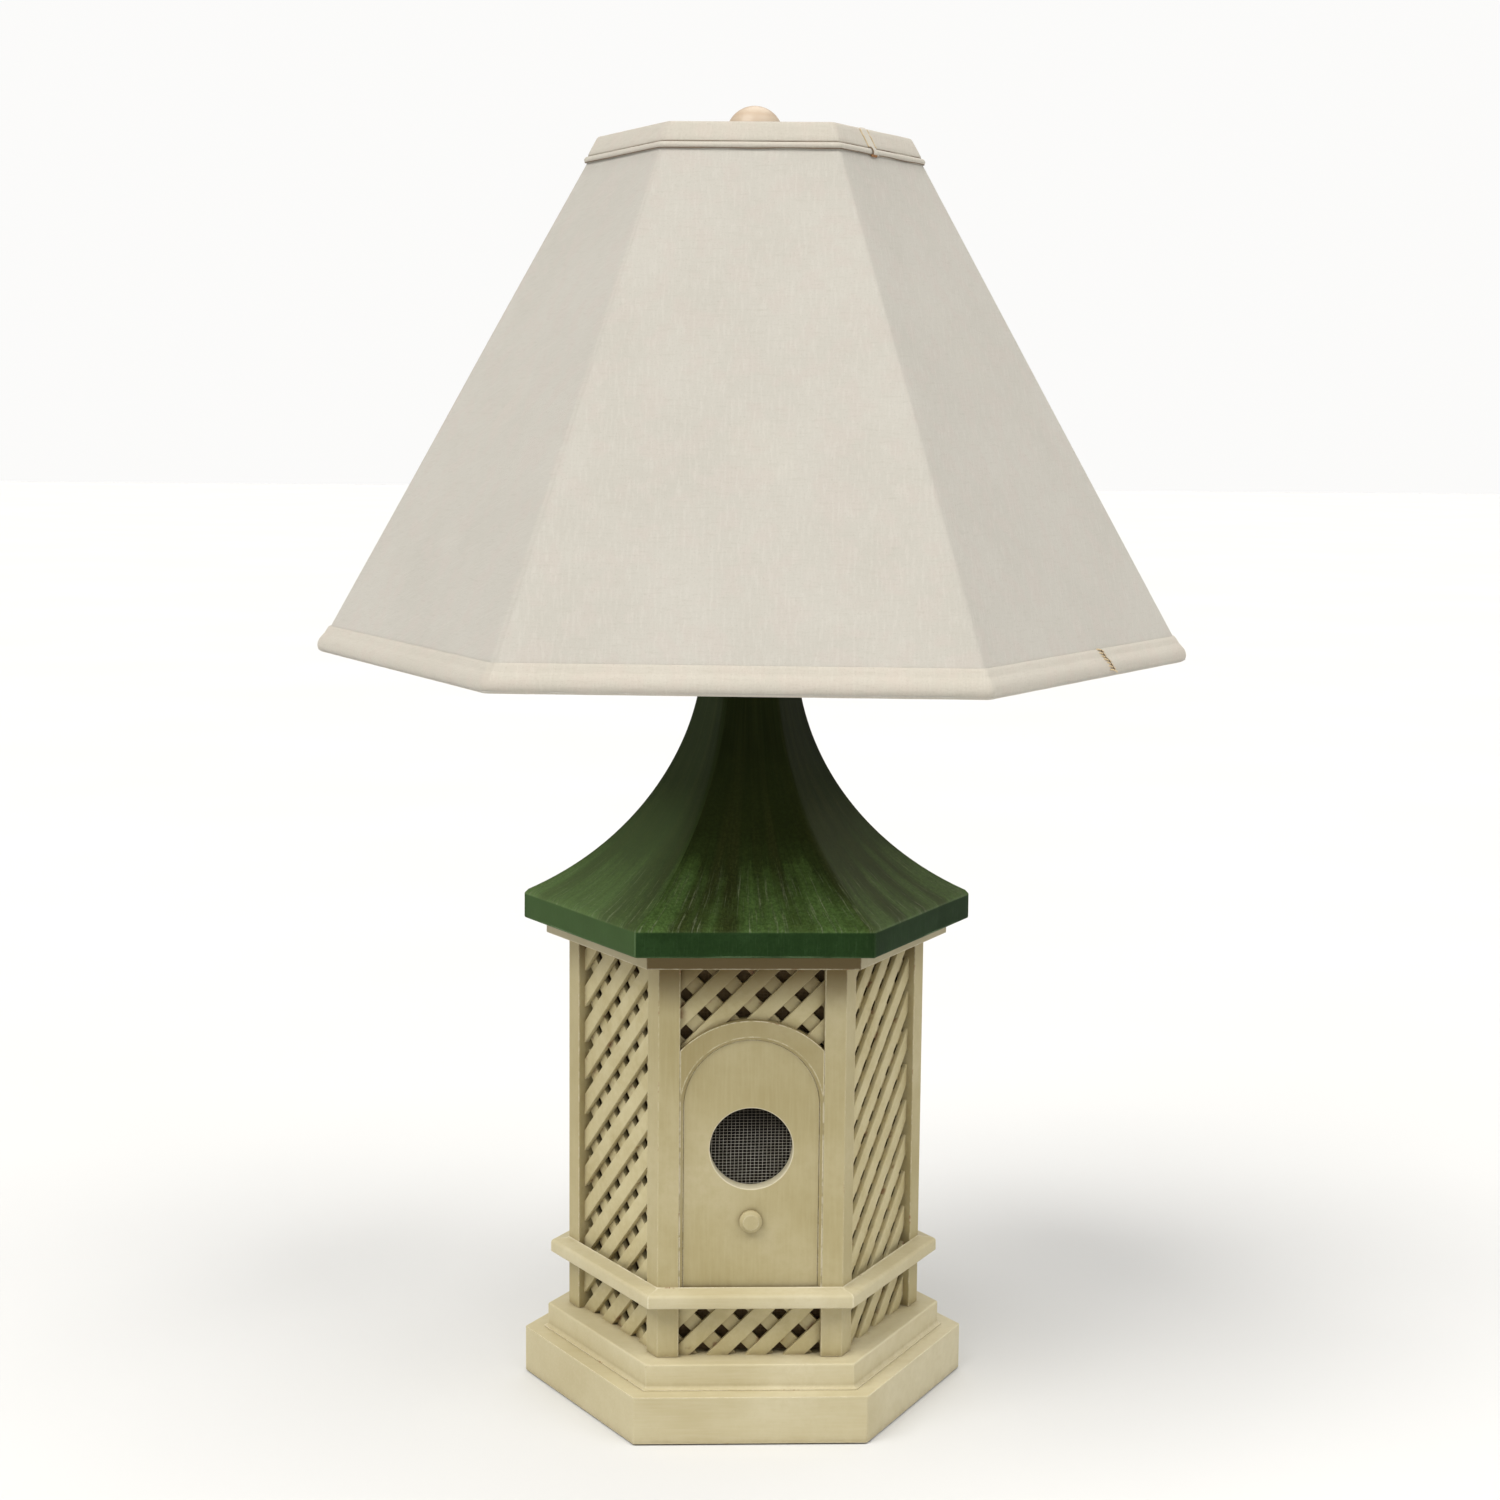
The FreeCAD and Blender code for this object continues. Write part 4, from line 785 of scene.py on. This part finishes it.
def woven_wires(low, high, half, depth):
    """Two sets of crimped wires that go over and under each other."""
    radius, sides = 0.076 * MM, 5
    gaps = {True: 2.1 * MM, False: 1.65 * MM}  # between upright wires, and between level ones
    tubes = []
    for upright in (True, False):
        pitch, crossed = gaps[upright], gaps[not upright]
        span, length = (half, high - low) if upright else ((high - low) / 2, 2 * half)
        for index in range(int(2 * span / pitch) + 1):
            line = -span + index * pitch
            side = 1 if (index + (0 if upright else 1)) % 2 else -1
            points = []
            for step in range(int(length / crossed * 2) + 1):
                run = -length / 2 + step * crossed / 2
                wave = side * radius * 0.95 * math.cos(math.pi * step / 2)
                drift = 0.35 * MM * math.sin(run * 61 + line * 23)
                drift += 0.22 * MM * math.sin(line * 140 + run * 17)
                x, z = (line + drift, run) if upright else (run, line + drift)
                points.append((x, -WALL + depth + wave, (low + high) / 2 + z))
            tubes.append(tube(points, radius, sides=sides))
    return tubes


def make_door():
    repainted("lining_card", "card")
    softened("door_surround", "crown", 0.45 * MM, 2)
    softened("door_panel", "upright", 0.5 * MM, 3)
    low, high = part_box("insect_screen")
    weave = woven_wires(low.z, high.z, high.x - 0.2 * MM, (low.y + high.y) / 2 + WALL)
    wires("woven_screen", weave, "screen", "lamp", "screen_wire", replaces=["insect_screen"])
    low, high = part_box("door_knob")
    middle = ((low.x + high.x) / 2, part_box("door_panel")[0].y, (low.z + high.z) / 2)
    radius = (high.x - low.x) / 2
    proud = middle[1] - low.y
    flat = radius * 0.72
    profile = [*offsets(0, 0, (0, -5), (2.9, -5), (2.9, 0)), (radius - 0.4 * MM, 0)]
    profile += arc((radius - 0.9 * MM, 0.9 * MM), 0.9 * MM, -60, 0, 4)
    profile += arc((radius - 0.9 * MM, proud - 2.1 * MM), 0.9 * MM, 0, 45, 4)
    profile += arc((flat - 0.4 * MM, proud - 0.5 * MM), 0.5 * MM, 45, 90, 4)
    profile += [(flat * 0.5, proud - 0.05 * MM), (0, proud - 0.08 * MM)]
    lathe("knob", profile, "upright", "lamp", middle=middle, tilt=90, replaces=["door_knob"],
          slot="cream_paint")


# ---- roof ----


def make_roof():
    softened("cornice_board", "level", 0.6 * MM, 2)
    low, high = heights("roof")
    eave = reach("roof", FRONT)
    neck = reach("roof", FRONT, low=high - 0.1 * MM)
    edge, sweep, steps = 1.3 * MM, 156 * MM, 56
    eave_top = high - ROOF_SLOPE_HEIGHT
    start, end = (eave - 1.7 * MM, eave_top + 1.7 * MM), (neck, high)
    chord = (end[0] - start[0], end[1] - start[1])
    half = math.hypot(*chord) / 2
    lift = math.sqrt(sweep**2 - half**2) / (2 * half)
    centre = (start[0] + chord[0] / 2 + chord[1] * lift, start[1] + chord[1] / 2 - chord[0] * lift)
    turns = (math.atan2(height - centre[1], out - centre[0]) for out, height in (start, end))
    profile = [(CORE, low), *arc((eave - edge, low + edge), edge, -90, 0, 4), (eave, (low + eave_top) / 2)]
    profile += arc((eave - edge, eave_top - edge + 0.5 * MM), edge, 0, 50, 4)
    roundings = [1.0 * MM] * len(profile)
    profile += arc(centre, sweep, *(math.degrees(turn) % 360 for turn in turns), steps)
    roundings += [(1.2 + 2.2 * step / steps) * MM for step in range(steps + 1)]
    profile += [(neck - 0.6 * MM, high + 0.1 * MM), (CORE, high)]
    roundings += [3.2 * MM, 1.0 * MM]

    def carved(x, y, z):
        """A hand-finished surface: slow swells of a quarter of a millimetre."""
        if z < low + edge or math.hypot(x, y) < 20 * MM:
            return 0.0
        return 0.22 * MM * math.sin(31 * x + 17 * z) * math.sin(43 * y - 29 * z + 1.3)

    hexagon_loft("pagoda_roof", profile, roundings, "roof", "lamp", fan=True, flat_steps=16, arc_steps=5,
                 wobble=carved, replaces=["roof"], slot="green_paint")


# ---- stem, socket and bulb ----


def make_stem():
    for node in ("lamp_pipe", "pipe_washer", "pipe_nut"):
        repainted(node, "zinc")
    softened("harp_saddle", "brass", 0.3 * MM, 2)
    low, high = heights("roof_cap")
    profile = offsets(0, low, (6, 0), (21, 0), (22, 0.8), (21.4, 1.6), (18.5, 2.2), (15.5, 3.6))
    profile += offsets(0, high, (14, -0.4), (13, 0), (6, 0))
    lathe("neck_cap", profile, "brass", "lamp", replaces=["roof_cap"], slot="brass")
    low, high = heights("neck_tube")
    steps = 40
    profile = offsets(0, low, (5.3, 0), (8, 0))
    for share in (step / steps for step in range(1, steps)):
        groove = 0.5 * MM * math.cos(6 * math.pi * share) ** 8
        swell = 8 * MM + 1.6 * MM * math.sin(math.pi * share) ** 2 - groove
        profile.append((min(swell, 9.4 * MM), low + (high - low) * share))
    profile += offsets(0, high, (8, 0), (5.3, 0))
    lathe("neck_spindle", profile, "brass", "lamp", replaces=["neck_tube"], slot="brass")
    repainted("harp", "harp")
    for side in ("left", "right"):
        low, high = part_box(f"harp_sleeve_{side}")
        middle = ((low.x + high.x) / 2, (low.y + high.y) / 2, 0)
        outer, bore = (high.x - low.x) / 2, 1.7 * MM
        profile = [(bore, low.z), *offsets(outer, low.z, (0, 0.4), (0, 1.4), (-0.7, 2.0))]
        profile += offsets(outer, high.z, (-0.7, -2.6), (0, -2.0), (0, -0.9))
        profile += [*offsets(bore, high.z, (0.3, 0), (0, -0.2)), (bore, low.z)]
        lathe(f"sleeve_{side}_ferrule", profile, "harp", f"sleeve_{side}", segments=32, middle=middle,
              replaces=[f"harp_sleeve_{side}"], slot="brass")


def make_socket():
    low, high = heights("socket_cap")
    outer = reach("socket_cap", 0)
    profile = offsets(0, low, (5.4, 0), (9, 0), (9.4, 0.8), (9, 3.8), (10.5, 5), (14, 7.4), (16.6, 10))
    profile += [(outer - 0.4 * MM, low + 12.5 * MM)]
    profile += offsets(outer, high, (0, -3.4), (-0.6, -2.6), (0, -1.8), (0, -0.2), (-0.8, 0), (-1, -6))
    profile += offsets(0, low, (9, 7.2), (5.4, 7))
    lathe("socket_cup", profile, "brass", "lamp", replaces=["socket_cap"], slot="brass")
    softened("socket_shell", "brass", 0.2 * MM, 2)
    repainted("socket_base", "black")
    repainted("socket_screw_shell", "tin")
    softened("socket_key", "black", 0.9 * MM, 3)
    make_bulb()
    low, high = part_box("cord_bush")
    wall = high.y - 2 * MM
    inner_end = low.y - wall
    profile = [(3.5 * MM, inner_end), (6 * MM, inner_end), *offsets(0, 0, (6, 0), (9, 0))]
    profile += arc((7.6 * MM, 0.6 * MM), 1.4 * MM, 0, 90, 5)
    profile += [*offsets(0, 0, (4.6, 2), (3.5, 1.2)), (3.5 * MM, inner_end)]
    middle = ((low.x + high.x) / 2, wall, (low.z + high.z) / 2)
    lathe("bush", profile, "brown", "lamp", segments=48, middle=middle, tilt=-90, replaces=["cord_bush"],
          slot="bush_plastic")


def make_bulb():
    low, high = heights("bulb_base")
    radius = reach("bulb_base", 0)
    profile = offsets(0, low, (0, 0), (4.2, 0.2), (4.8, 1.4), (8.5, 2.6), (11.6, 4.8))
    turns, steps = 5, 50
    start, end = low + 5.4 * MM, high - 4 * MM
    for share in (step / steps for step in range(steps + 1)):
        thread = 0.45 * MM * (1 - math.cos(math.tau * turns * share))
        profile.append((radius - thread, start + (end - start) * share))
    profile += [(radius, high - 2.5 * MM), (radius - 0.1 * MM, high), (0, high)]
    lathe("screw_cap", profile, "tin", "bulb", replaces=["bulb_base"], slot="bulb_metal")
    low, high = heights("bulb_glass")
    radius = reach("bulb_glass", 0)
    neck, wall, steps = 12.9 * MM, 0.8 * MM, 14
    globe, lowest = high - radius, 32  # its middle, and how many degrees below it the round part goes
    joint = arc((0, globe), radius, -lowest, 0, 1)[0]
    bend = (neck, joint[1] - (joint[0] - neck) * math.tan(math.radians(90 - lowest)))
    foot = (neck, low + 9 * MM)
    outline = [(neck, low), foot]
    for share in (step / steps for step in range(1, steps)):
        left = 1 - share
        routes = zip(foot, bend, joint)
        outline.append(tuple(left**2 * a + 2 * share * left * b + share**2 * c for a, b, c in routes))
    outline += arc((0, globe), radius, -lowest, 90, 30)
    inner = [(max(out - wall, 0), height - (wall if height > globe else 0)) for out, height in outline][::-1]
    outline[-1] = (0, high)
    inner[0] = (0, high - wall)
    lathe("bulb_envelope", outline + inner + [outline[0]], "glass", "bulb", replaces=["bulb_glass"],
          slot="bulb_glass")


# ---- shade ----


def on_slope(up, out):
    """(distance square to a side, height) of a point up the shade's slope and out from the linen."""
    sine, cosine = math.sin(SHADE_LEAN), math.cos(SHADE_LEAN)
    return SHADE_FOOT - up * sine + out * cosine, SHADE_LOW + up * cosine + out * sine


def slope_profile(base, outline):
    """Profile points from (up, out) pairs in millimetres, measured up from a place on the slope."""
    return [on_slope(base + up * MM, out * MM) for up, out in outline]


def on_side(base, shift, up, out):
    """A point on the slope to the right of the door's, in millimetres from a place up that slope."""
    apothem, height = on_slope(base + up * MM, out * MM)
    return (*beside(1, apothem, shift * MM, SHADE_YAW), height)


def make_shade():
    steps = 40

    def eased(x, y, z):
        """The slow waves of cloth that is glued only at its edges."""
        return 0.25 * MM * math.sin(26 * x + 9 * z) * math.sin(31 * y + 12 * z)

    profile = [on_slope(SHADE_SLOPE * step / steps, -0.2 * MM) for step in range(steps + 1)]
    roundings = [(4.5 - 1.5 * step / steps) * MM for step in range(steps + 1)]
    panels = [f"shade_panel_{number + 1}" for number in SIDES]
    cloth = hexagon_loft("shade_linen_cover", profile, roundings, "linen", "shade", yaw=SHADE_YAW,
                         flat_steps=14, arc_steps=6, wobble=eased, replaces=panels, slot="linen")
    thickened(cloth, 0.5 * MM)
    profile = [on_slope(SHADE_SLOPE * step / 10, -0.9 * MM) for step in range(11)]
    lining = hexagon_loft("shade_lining", profile, 3.5 * MM, "lining", "shade", yaw=SHADE_YAW, slot="linen")
    thickened(lining, 0.3 * MM)
    trims = make_trims()
    make_frame_wires()


# (up, out) in millimetres round the edge of each trim, from the foot or the head of the slope
HEM = ((14.2, 0.1), (14.3, 0.45), (13.6, 0.75), (12.0, 0.9), (10.4, 1.0), (9.6, 1.0), (8.9, 1.2),
       (7.6, 1.5), (5.6, 1.9), (3.6, 1.75), (1.9, 1.25), (0.5, 0.2), (-0.25, -1.2), (-0.3, -2.6),
       (0.5, -4.0), (1.9, -4.9), (3.7, -5.0), (5.4, -4.3), (7.0, -2.8), (9.5, -1.9), (12.0, -1.7),
       (12.1, -1.2))
TOP_BAND = ((-11.4, 0.1), (-11.3, 0.9), (-10.6, 1.25), (-8.0, 1.3), (-4.0, 1.3), (-1.2, 1.3), (-0.1, 1.0),
            (0.6, 0.2), (0.7, -1.0), (0.2, -2.0), (-1.2, -2.4), (-8.0, -2.0), (-8.1, -1.4))
PIPING_TURNS = [math.tau * step / 14 for step in range(14)]
PIPING = [(1.7 * math.cos(turn) - 13.4, 0.55 + 1.4 * math.sin(turn)) for turn in PIPING_TURNS]


def make_trims():
    """The folded band round the bottom, the band and piping round the top, and their joins."""

    def gathered(x, y, z):
        """Slight puckers of hand sewing."""
        return 0.12 * MM * math.sin(210 * x + 90 * y) + 0.1 * MM * math.sin(330 * y - 150 * x)

    made = []
    for name, node, base, outline, rounding, flat_steps in (
        ("hem_band", "shade_bottom_trim", 0, HEM[::-1], 4.5 * MM, 36),
        ("top_band", "shade_top_trim", SHADE_SLOPE, TOP_BAND, 3.6 * MM, 18),
        ("piping_cord", "shade_piping", SHADE_SLOPE, PIPING[::-1], 3.6 * MM, 18),
    ):
        made.append(hexagon_loft(name, slope_profile(base, outline), rounding, "trim", "shade", yaw=SHADE_YAW,
                                 closed=True, flat_steps=flat_steps, arc_steps=6, wobble=gathered,
                                 replaces=[node], slot="trim_linen", crisp=60))
    return [*made, lapped_end(), *sewing(), hem_stitches()]


def lapped_end():
    """Where the top band's turned-in end laps over its start, on the slope to the right of the door's."""
    rows, columns = 10, 8
    vertices, faces = [], []
    for row in range(rows + 1):
        down = 0.2 + 15.4 * row / rows
        for column in range(columns + 1):
            share = column / columns
            bulge = 0.95 + 0.95 * math.sin(math.pi * share) ** 0.5
            vertices.append(on_side(SHADE_SLOPE, -16.8 + 7.6 * share + 0.2 * down, -down, bulge))
            if row < rows and column < columns:
                corner = row * (columns + 1) + column
                faces.append((corner, corner + columns + 1, corner + columns + 2, corner + 1))
    return thickened(piece("band_lap", vertices, faces, "trim", "shade", slot="trim_linen"), 0.9 * MM)


def stitched(name, points, radius, material, closed=False):
    """A thread of a radius in millimetres, sewn on the shade."""
    return wires(name, [tube(points, radius * MM, closed, 8)], material, "shade", "trim_linen")


def sewing():
    """Brown thread along both sides of the piping, down the lap's edges and round the piping at its foot."""
    made = []
    for name, down, radius in (("upper_thread", 11.5, 0.24), ("lower_thread", 15.2, 0.26)):
        apothem, height = on_slope(SHADE_SLOPE - down * MM, 0.75 * MM)
        points = []
        for x, y, _, _ in hexagon_row(apothem, 3.6 * MM, 60, 6, SHADE_YAW):
            slack = 0.22 * MM * math.sin(170 * x + 90 * y) * math.sin(60 * y - 35 * x)
            points.append((x, y, height + slack))
        made.append(stitched(name, points, radius, "brown_thread", closed=True))
    for name, aside in (("lap_left_thread", -16.9), ("lap_right_thread", -9.2)):
        edge = [on_side(SHADE_SLOPE, aside + 0.2 * down, -down, 1.35 + 0.2 * (down % 2))
                for down in (1, 2.6, 4, 5.6, 7, 8.6, 10, 11.4)]
        made.append(stitched(name, edge, 0.26, "thread"))
    knot = []
    for step in range(11):
        angle = math.pi * step / 10
        knot.append(on_side(SHADE_SLOPE, -14.4 + 1.1 * step / 10, 2.3 * math.cos(angle) - 13.4,
                            0.9 + 1.6 * math.sin(angle)))
    foot = [on_side(SHADE_SLOPE, -14.0 + 5.0 * step / 8, -15.7 - 0.3 * (step % 2), 0.85) for step in range(9)]
    made.append(stitched("lap_knot", knot, 0.36, "brown_thread"))
    made.append(stitched("lap_foot_stitches", foot, 0.7, "stained"))
    return made


STITCH = ((-3.4, 1.0, -0.6), (-2.2, 0.7, 0.0), (0, 0, 0.1), (2.2, -0.7, 0.0), (3.4, -1.0, -0.6))


def hem_stitches():
    """Tan whip stitches over the join of the hem, on the slope to the right of the door's."""
    tubes = []
    count = 7
    for index in range(count):
        up = 13.2 - 12.0 * index / (count - 1)
        bulge = 2.0 if up < 9 else 1.3
        points = []
        for aside, rise, proud in STITCH:
            points.append(on_side(0, 14 + 0.8 * index + aside, up + rise, bulge + proud))
        tubes.append(tube(points, 0.42 * MM, sides=8))
    stitches = wires("hem_stitches", tubes, "thread", "shade", "trim_linen")
    seam = [on_side(0, 13.6 + 0.42 * (13.6 - up), up, 2.35 if up < 9 else 1.65)
            for up in (13.2, 11, 9, 7.6, 6, 4.4, 2.8, 1.6)]
    stitched("hem_seam", seam, 0.3, "brown_thread")
    return stitches


WIRE = 1.5 * MM  # radius of the frame's wire


def make_frame_wires():
    """Both wire rings, the ribs, and the spider that the shade hangs from."""
    low, high = heights("shade_rings")
    rings = []
    for height in (low + WIRE, high - WIRE):
        apothem = reach("shade_rings", FRONT + SHADE_YAW, height - WIRE, height + WIRE) - WIRE
        row = hexagon_row(apothem, 4 * MM, 6, 6, SHADE_YAW)
        rings.append(tube([(x, y, height) for x, y, _, _ in row], WIRE, closed=True, sides=14))
    wires("ring_wires", rings, "wire", "shade", "frame_wire", replaces=["shade_rings"])
    ribs = []
    for number in SIDES:
        corner = math.radians(FRONT + 30 + 60 * number + SHADE_YAW)
        ends = []
        for height in heights("shade_ribs"):
            up = (height - SHADE_LOW) / math.cos(SHADE_LEAN)
            radius = on_slope(up, -1.2 * MM - WIRE)[0] / COS30 - 2.2 * MM
            ends.append(Vector((radius * math.cos(corner), radius * math.sin(corner), height)))
        ribs.append(tube([ends[0].lerp(ends[1], step / 8) for step in range(9)], WIRE))
    wires("rib_wires", ribs, "wire", "shade", "frame_wire", replaces=["shade_ribs"])
    make_spider(high - WIRE)


def make_spider(ring_height):
    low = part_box("shade_spider")[0].z
    ring_corner = (reach("shade_rings", FRONT + SHADE_YAW, low=ring_height - WIRE) - WIRE) / COS30
    outline = offsets(0, low + 0.7 * MM, (9, 0.6), (14, 0.8), (20, 1.6), (40, 5.0), (60, 8.6), (70, 11.0))
    outline += offsets(ring_corner, ring_height, (-5.5, -0.6), (-1.8, 0))
    arms = []
    for degrees in (0, 120, 240):
        heading = math.radians(degrees + SHADE_YAW)
        east, north = math.cos(heading), math.sin(heading)
        arms.append(tube([(radius * east, radius * north, height) for radius, height in outline], WIRE))
    wires("spider_arms", arms, "wire", "shade", "frame_wire")
    profile = offsets(0, low, (3.1, 0), (11.6, 0), (12, 0.3), (11.6, 1.3), (7, 1.4), (3.3, 1.3), (3.1, 0))
    lathe("spider_washer", profile, "wire", "shade", segments=48, replaces=["shade_spider"],
          slot="frame_wire")


def make_finial():
    low, high = heights("finial")
    radius = reach("finial", 0)
    start = math.degrees(math.acos(6.4 * MM / radius))
    profile = offsets(0, low, (3.1, 0), (6.9, 0), (7.3, 0.6), (7.0, 1.3), (6.4, 1.6))
    profile += arc((0, high - radius), radius, -start, 90, 40)[1:]
    profile[-1] = (0, high)
    lathe("ball_finial", profile, "finial", "finial", segments=72, replaces=["finial"], slot="finial_paint")


# ---- camera, floor and light ----


def make_stage():
    size = 20.0
    corners = [(-size, -size, 0), (size, -size, 0), (size, size, 0), (-size, size, 0)]
    mesh = bpy.data.meshes.new("floor")
    mesh.from_pydata(corners, [], [(0, 1, 2, 3)])
    floor = bpy.data.objects.new("floor", mesh)
    bpy.context.scene.collection.objects.link(floor)
    coat = Finish("floor_paint", 0.9)
    coat.colour = coat.ramp(coat.noise(2, detail=2), (0.3, (211, 211, 210)), (0.7, (214, 214, 213)))
    mesh.materials.append(coat.done())


def make_sky():
    """Pale all round the horizon and dimmer overhead."""
    world = bpy.data.worlds.new("studio")
    bpy.context.scene.world = world
    world.use_nodes = True
    tree = world.node_tree
    coordinates = tree.nodes.new("ShaderNodeTexCoord")
    split = tree.nodes.new("ShaderNodeSeparateXYZ")
    fade = tree.nodes.new("ShaderNodeMapRange")
    fade.interpolation_type = "SMOOTHSTEP"
    for name, number in (("From Min", 0.17), ("From Max", 0.32), ("To Min", 0.97), ("To Max", 0.28)):
        fade.inputs[name].default_value = number
    background = tree.nodes["Background"]
    background.inputs["Color"].default_value = (1.0, 0.995, 0.985, 1.0)
    tree.links.new(coordinates.outputs["Generated"], split.inputs[0])
    tree.links.new(split.outputs["Z"], fade.inputs["Value"])
    tree.links.new(fade.outputs["Result"], background.inputs["Strength"])


def make_light():
    """Three broad, soft lights: (name, degrees round from the door, degrees up, strength)."""
    make_sky()
    for name, around, up, strength in (("key", -50, 56, 2.55), ("fill", 52, 56, 1.5), ("back", 170, 55, 0.7)):
        light = bpy.data.lights.new(name, "SUN")
        light.energy = strength
        light.angle = math.radians(40)
        light.color = (1.0, 0.985, 0.96)
        lamp = bpy.data.objects.new(name, light)
        heading, climb = math.radians(FRONT + around), math.radians(up)
        level = math.cos(climb)
        place = Vector((level * math.cos(heading), level * math.sin(heading), math.sin(climb)))
        lamp.rotation_euler = place.to_track_quat("Z", "Y").to_euler()
        bpy.context.scene.collection.objects.link(lamp)


def make_camera():
    """The camera at eye height a little to the left of the door, looking slightly down."""
    data = bpy.data.cameras.new("camera")
    data.sensor_width = 36
    data.lens = 59.92
    camera = bpy.data.objects.new("camera", data)
    bpy.context.scene.collection.objects.link(camera)
    place = Vector((-0.0561, -1.3809, 0.5408))
    pitch, roll = math.radians(7.444), math.radians(0.55)
    level = Vector((0.0411, 0.9992, 0)).normalized()
    look = level * math.cos(pitch) - Vector((0, 0, math.sin(pitch)))
    aim = look.to_track_quat("-Z", "Y").to_matrix()
    camera.matrix_world = Matrix.Translation(place) @ (aim @ Matrix.Rotation(roll, 3, "Z")).to_4x4()
    bpy.context.scene.camera = camera
    bpy.context.scene.view_settings.view_transform = "Standard"


make_camera()
make_light()
make_stage()
make_plinth()
make_walls()
make_lattice()
make_door()
make_roof()
make_stem()
make_socket()
make_shade()
make_finial()
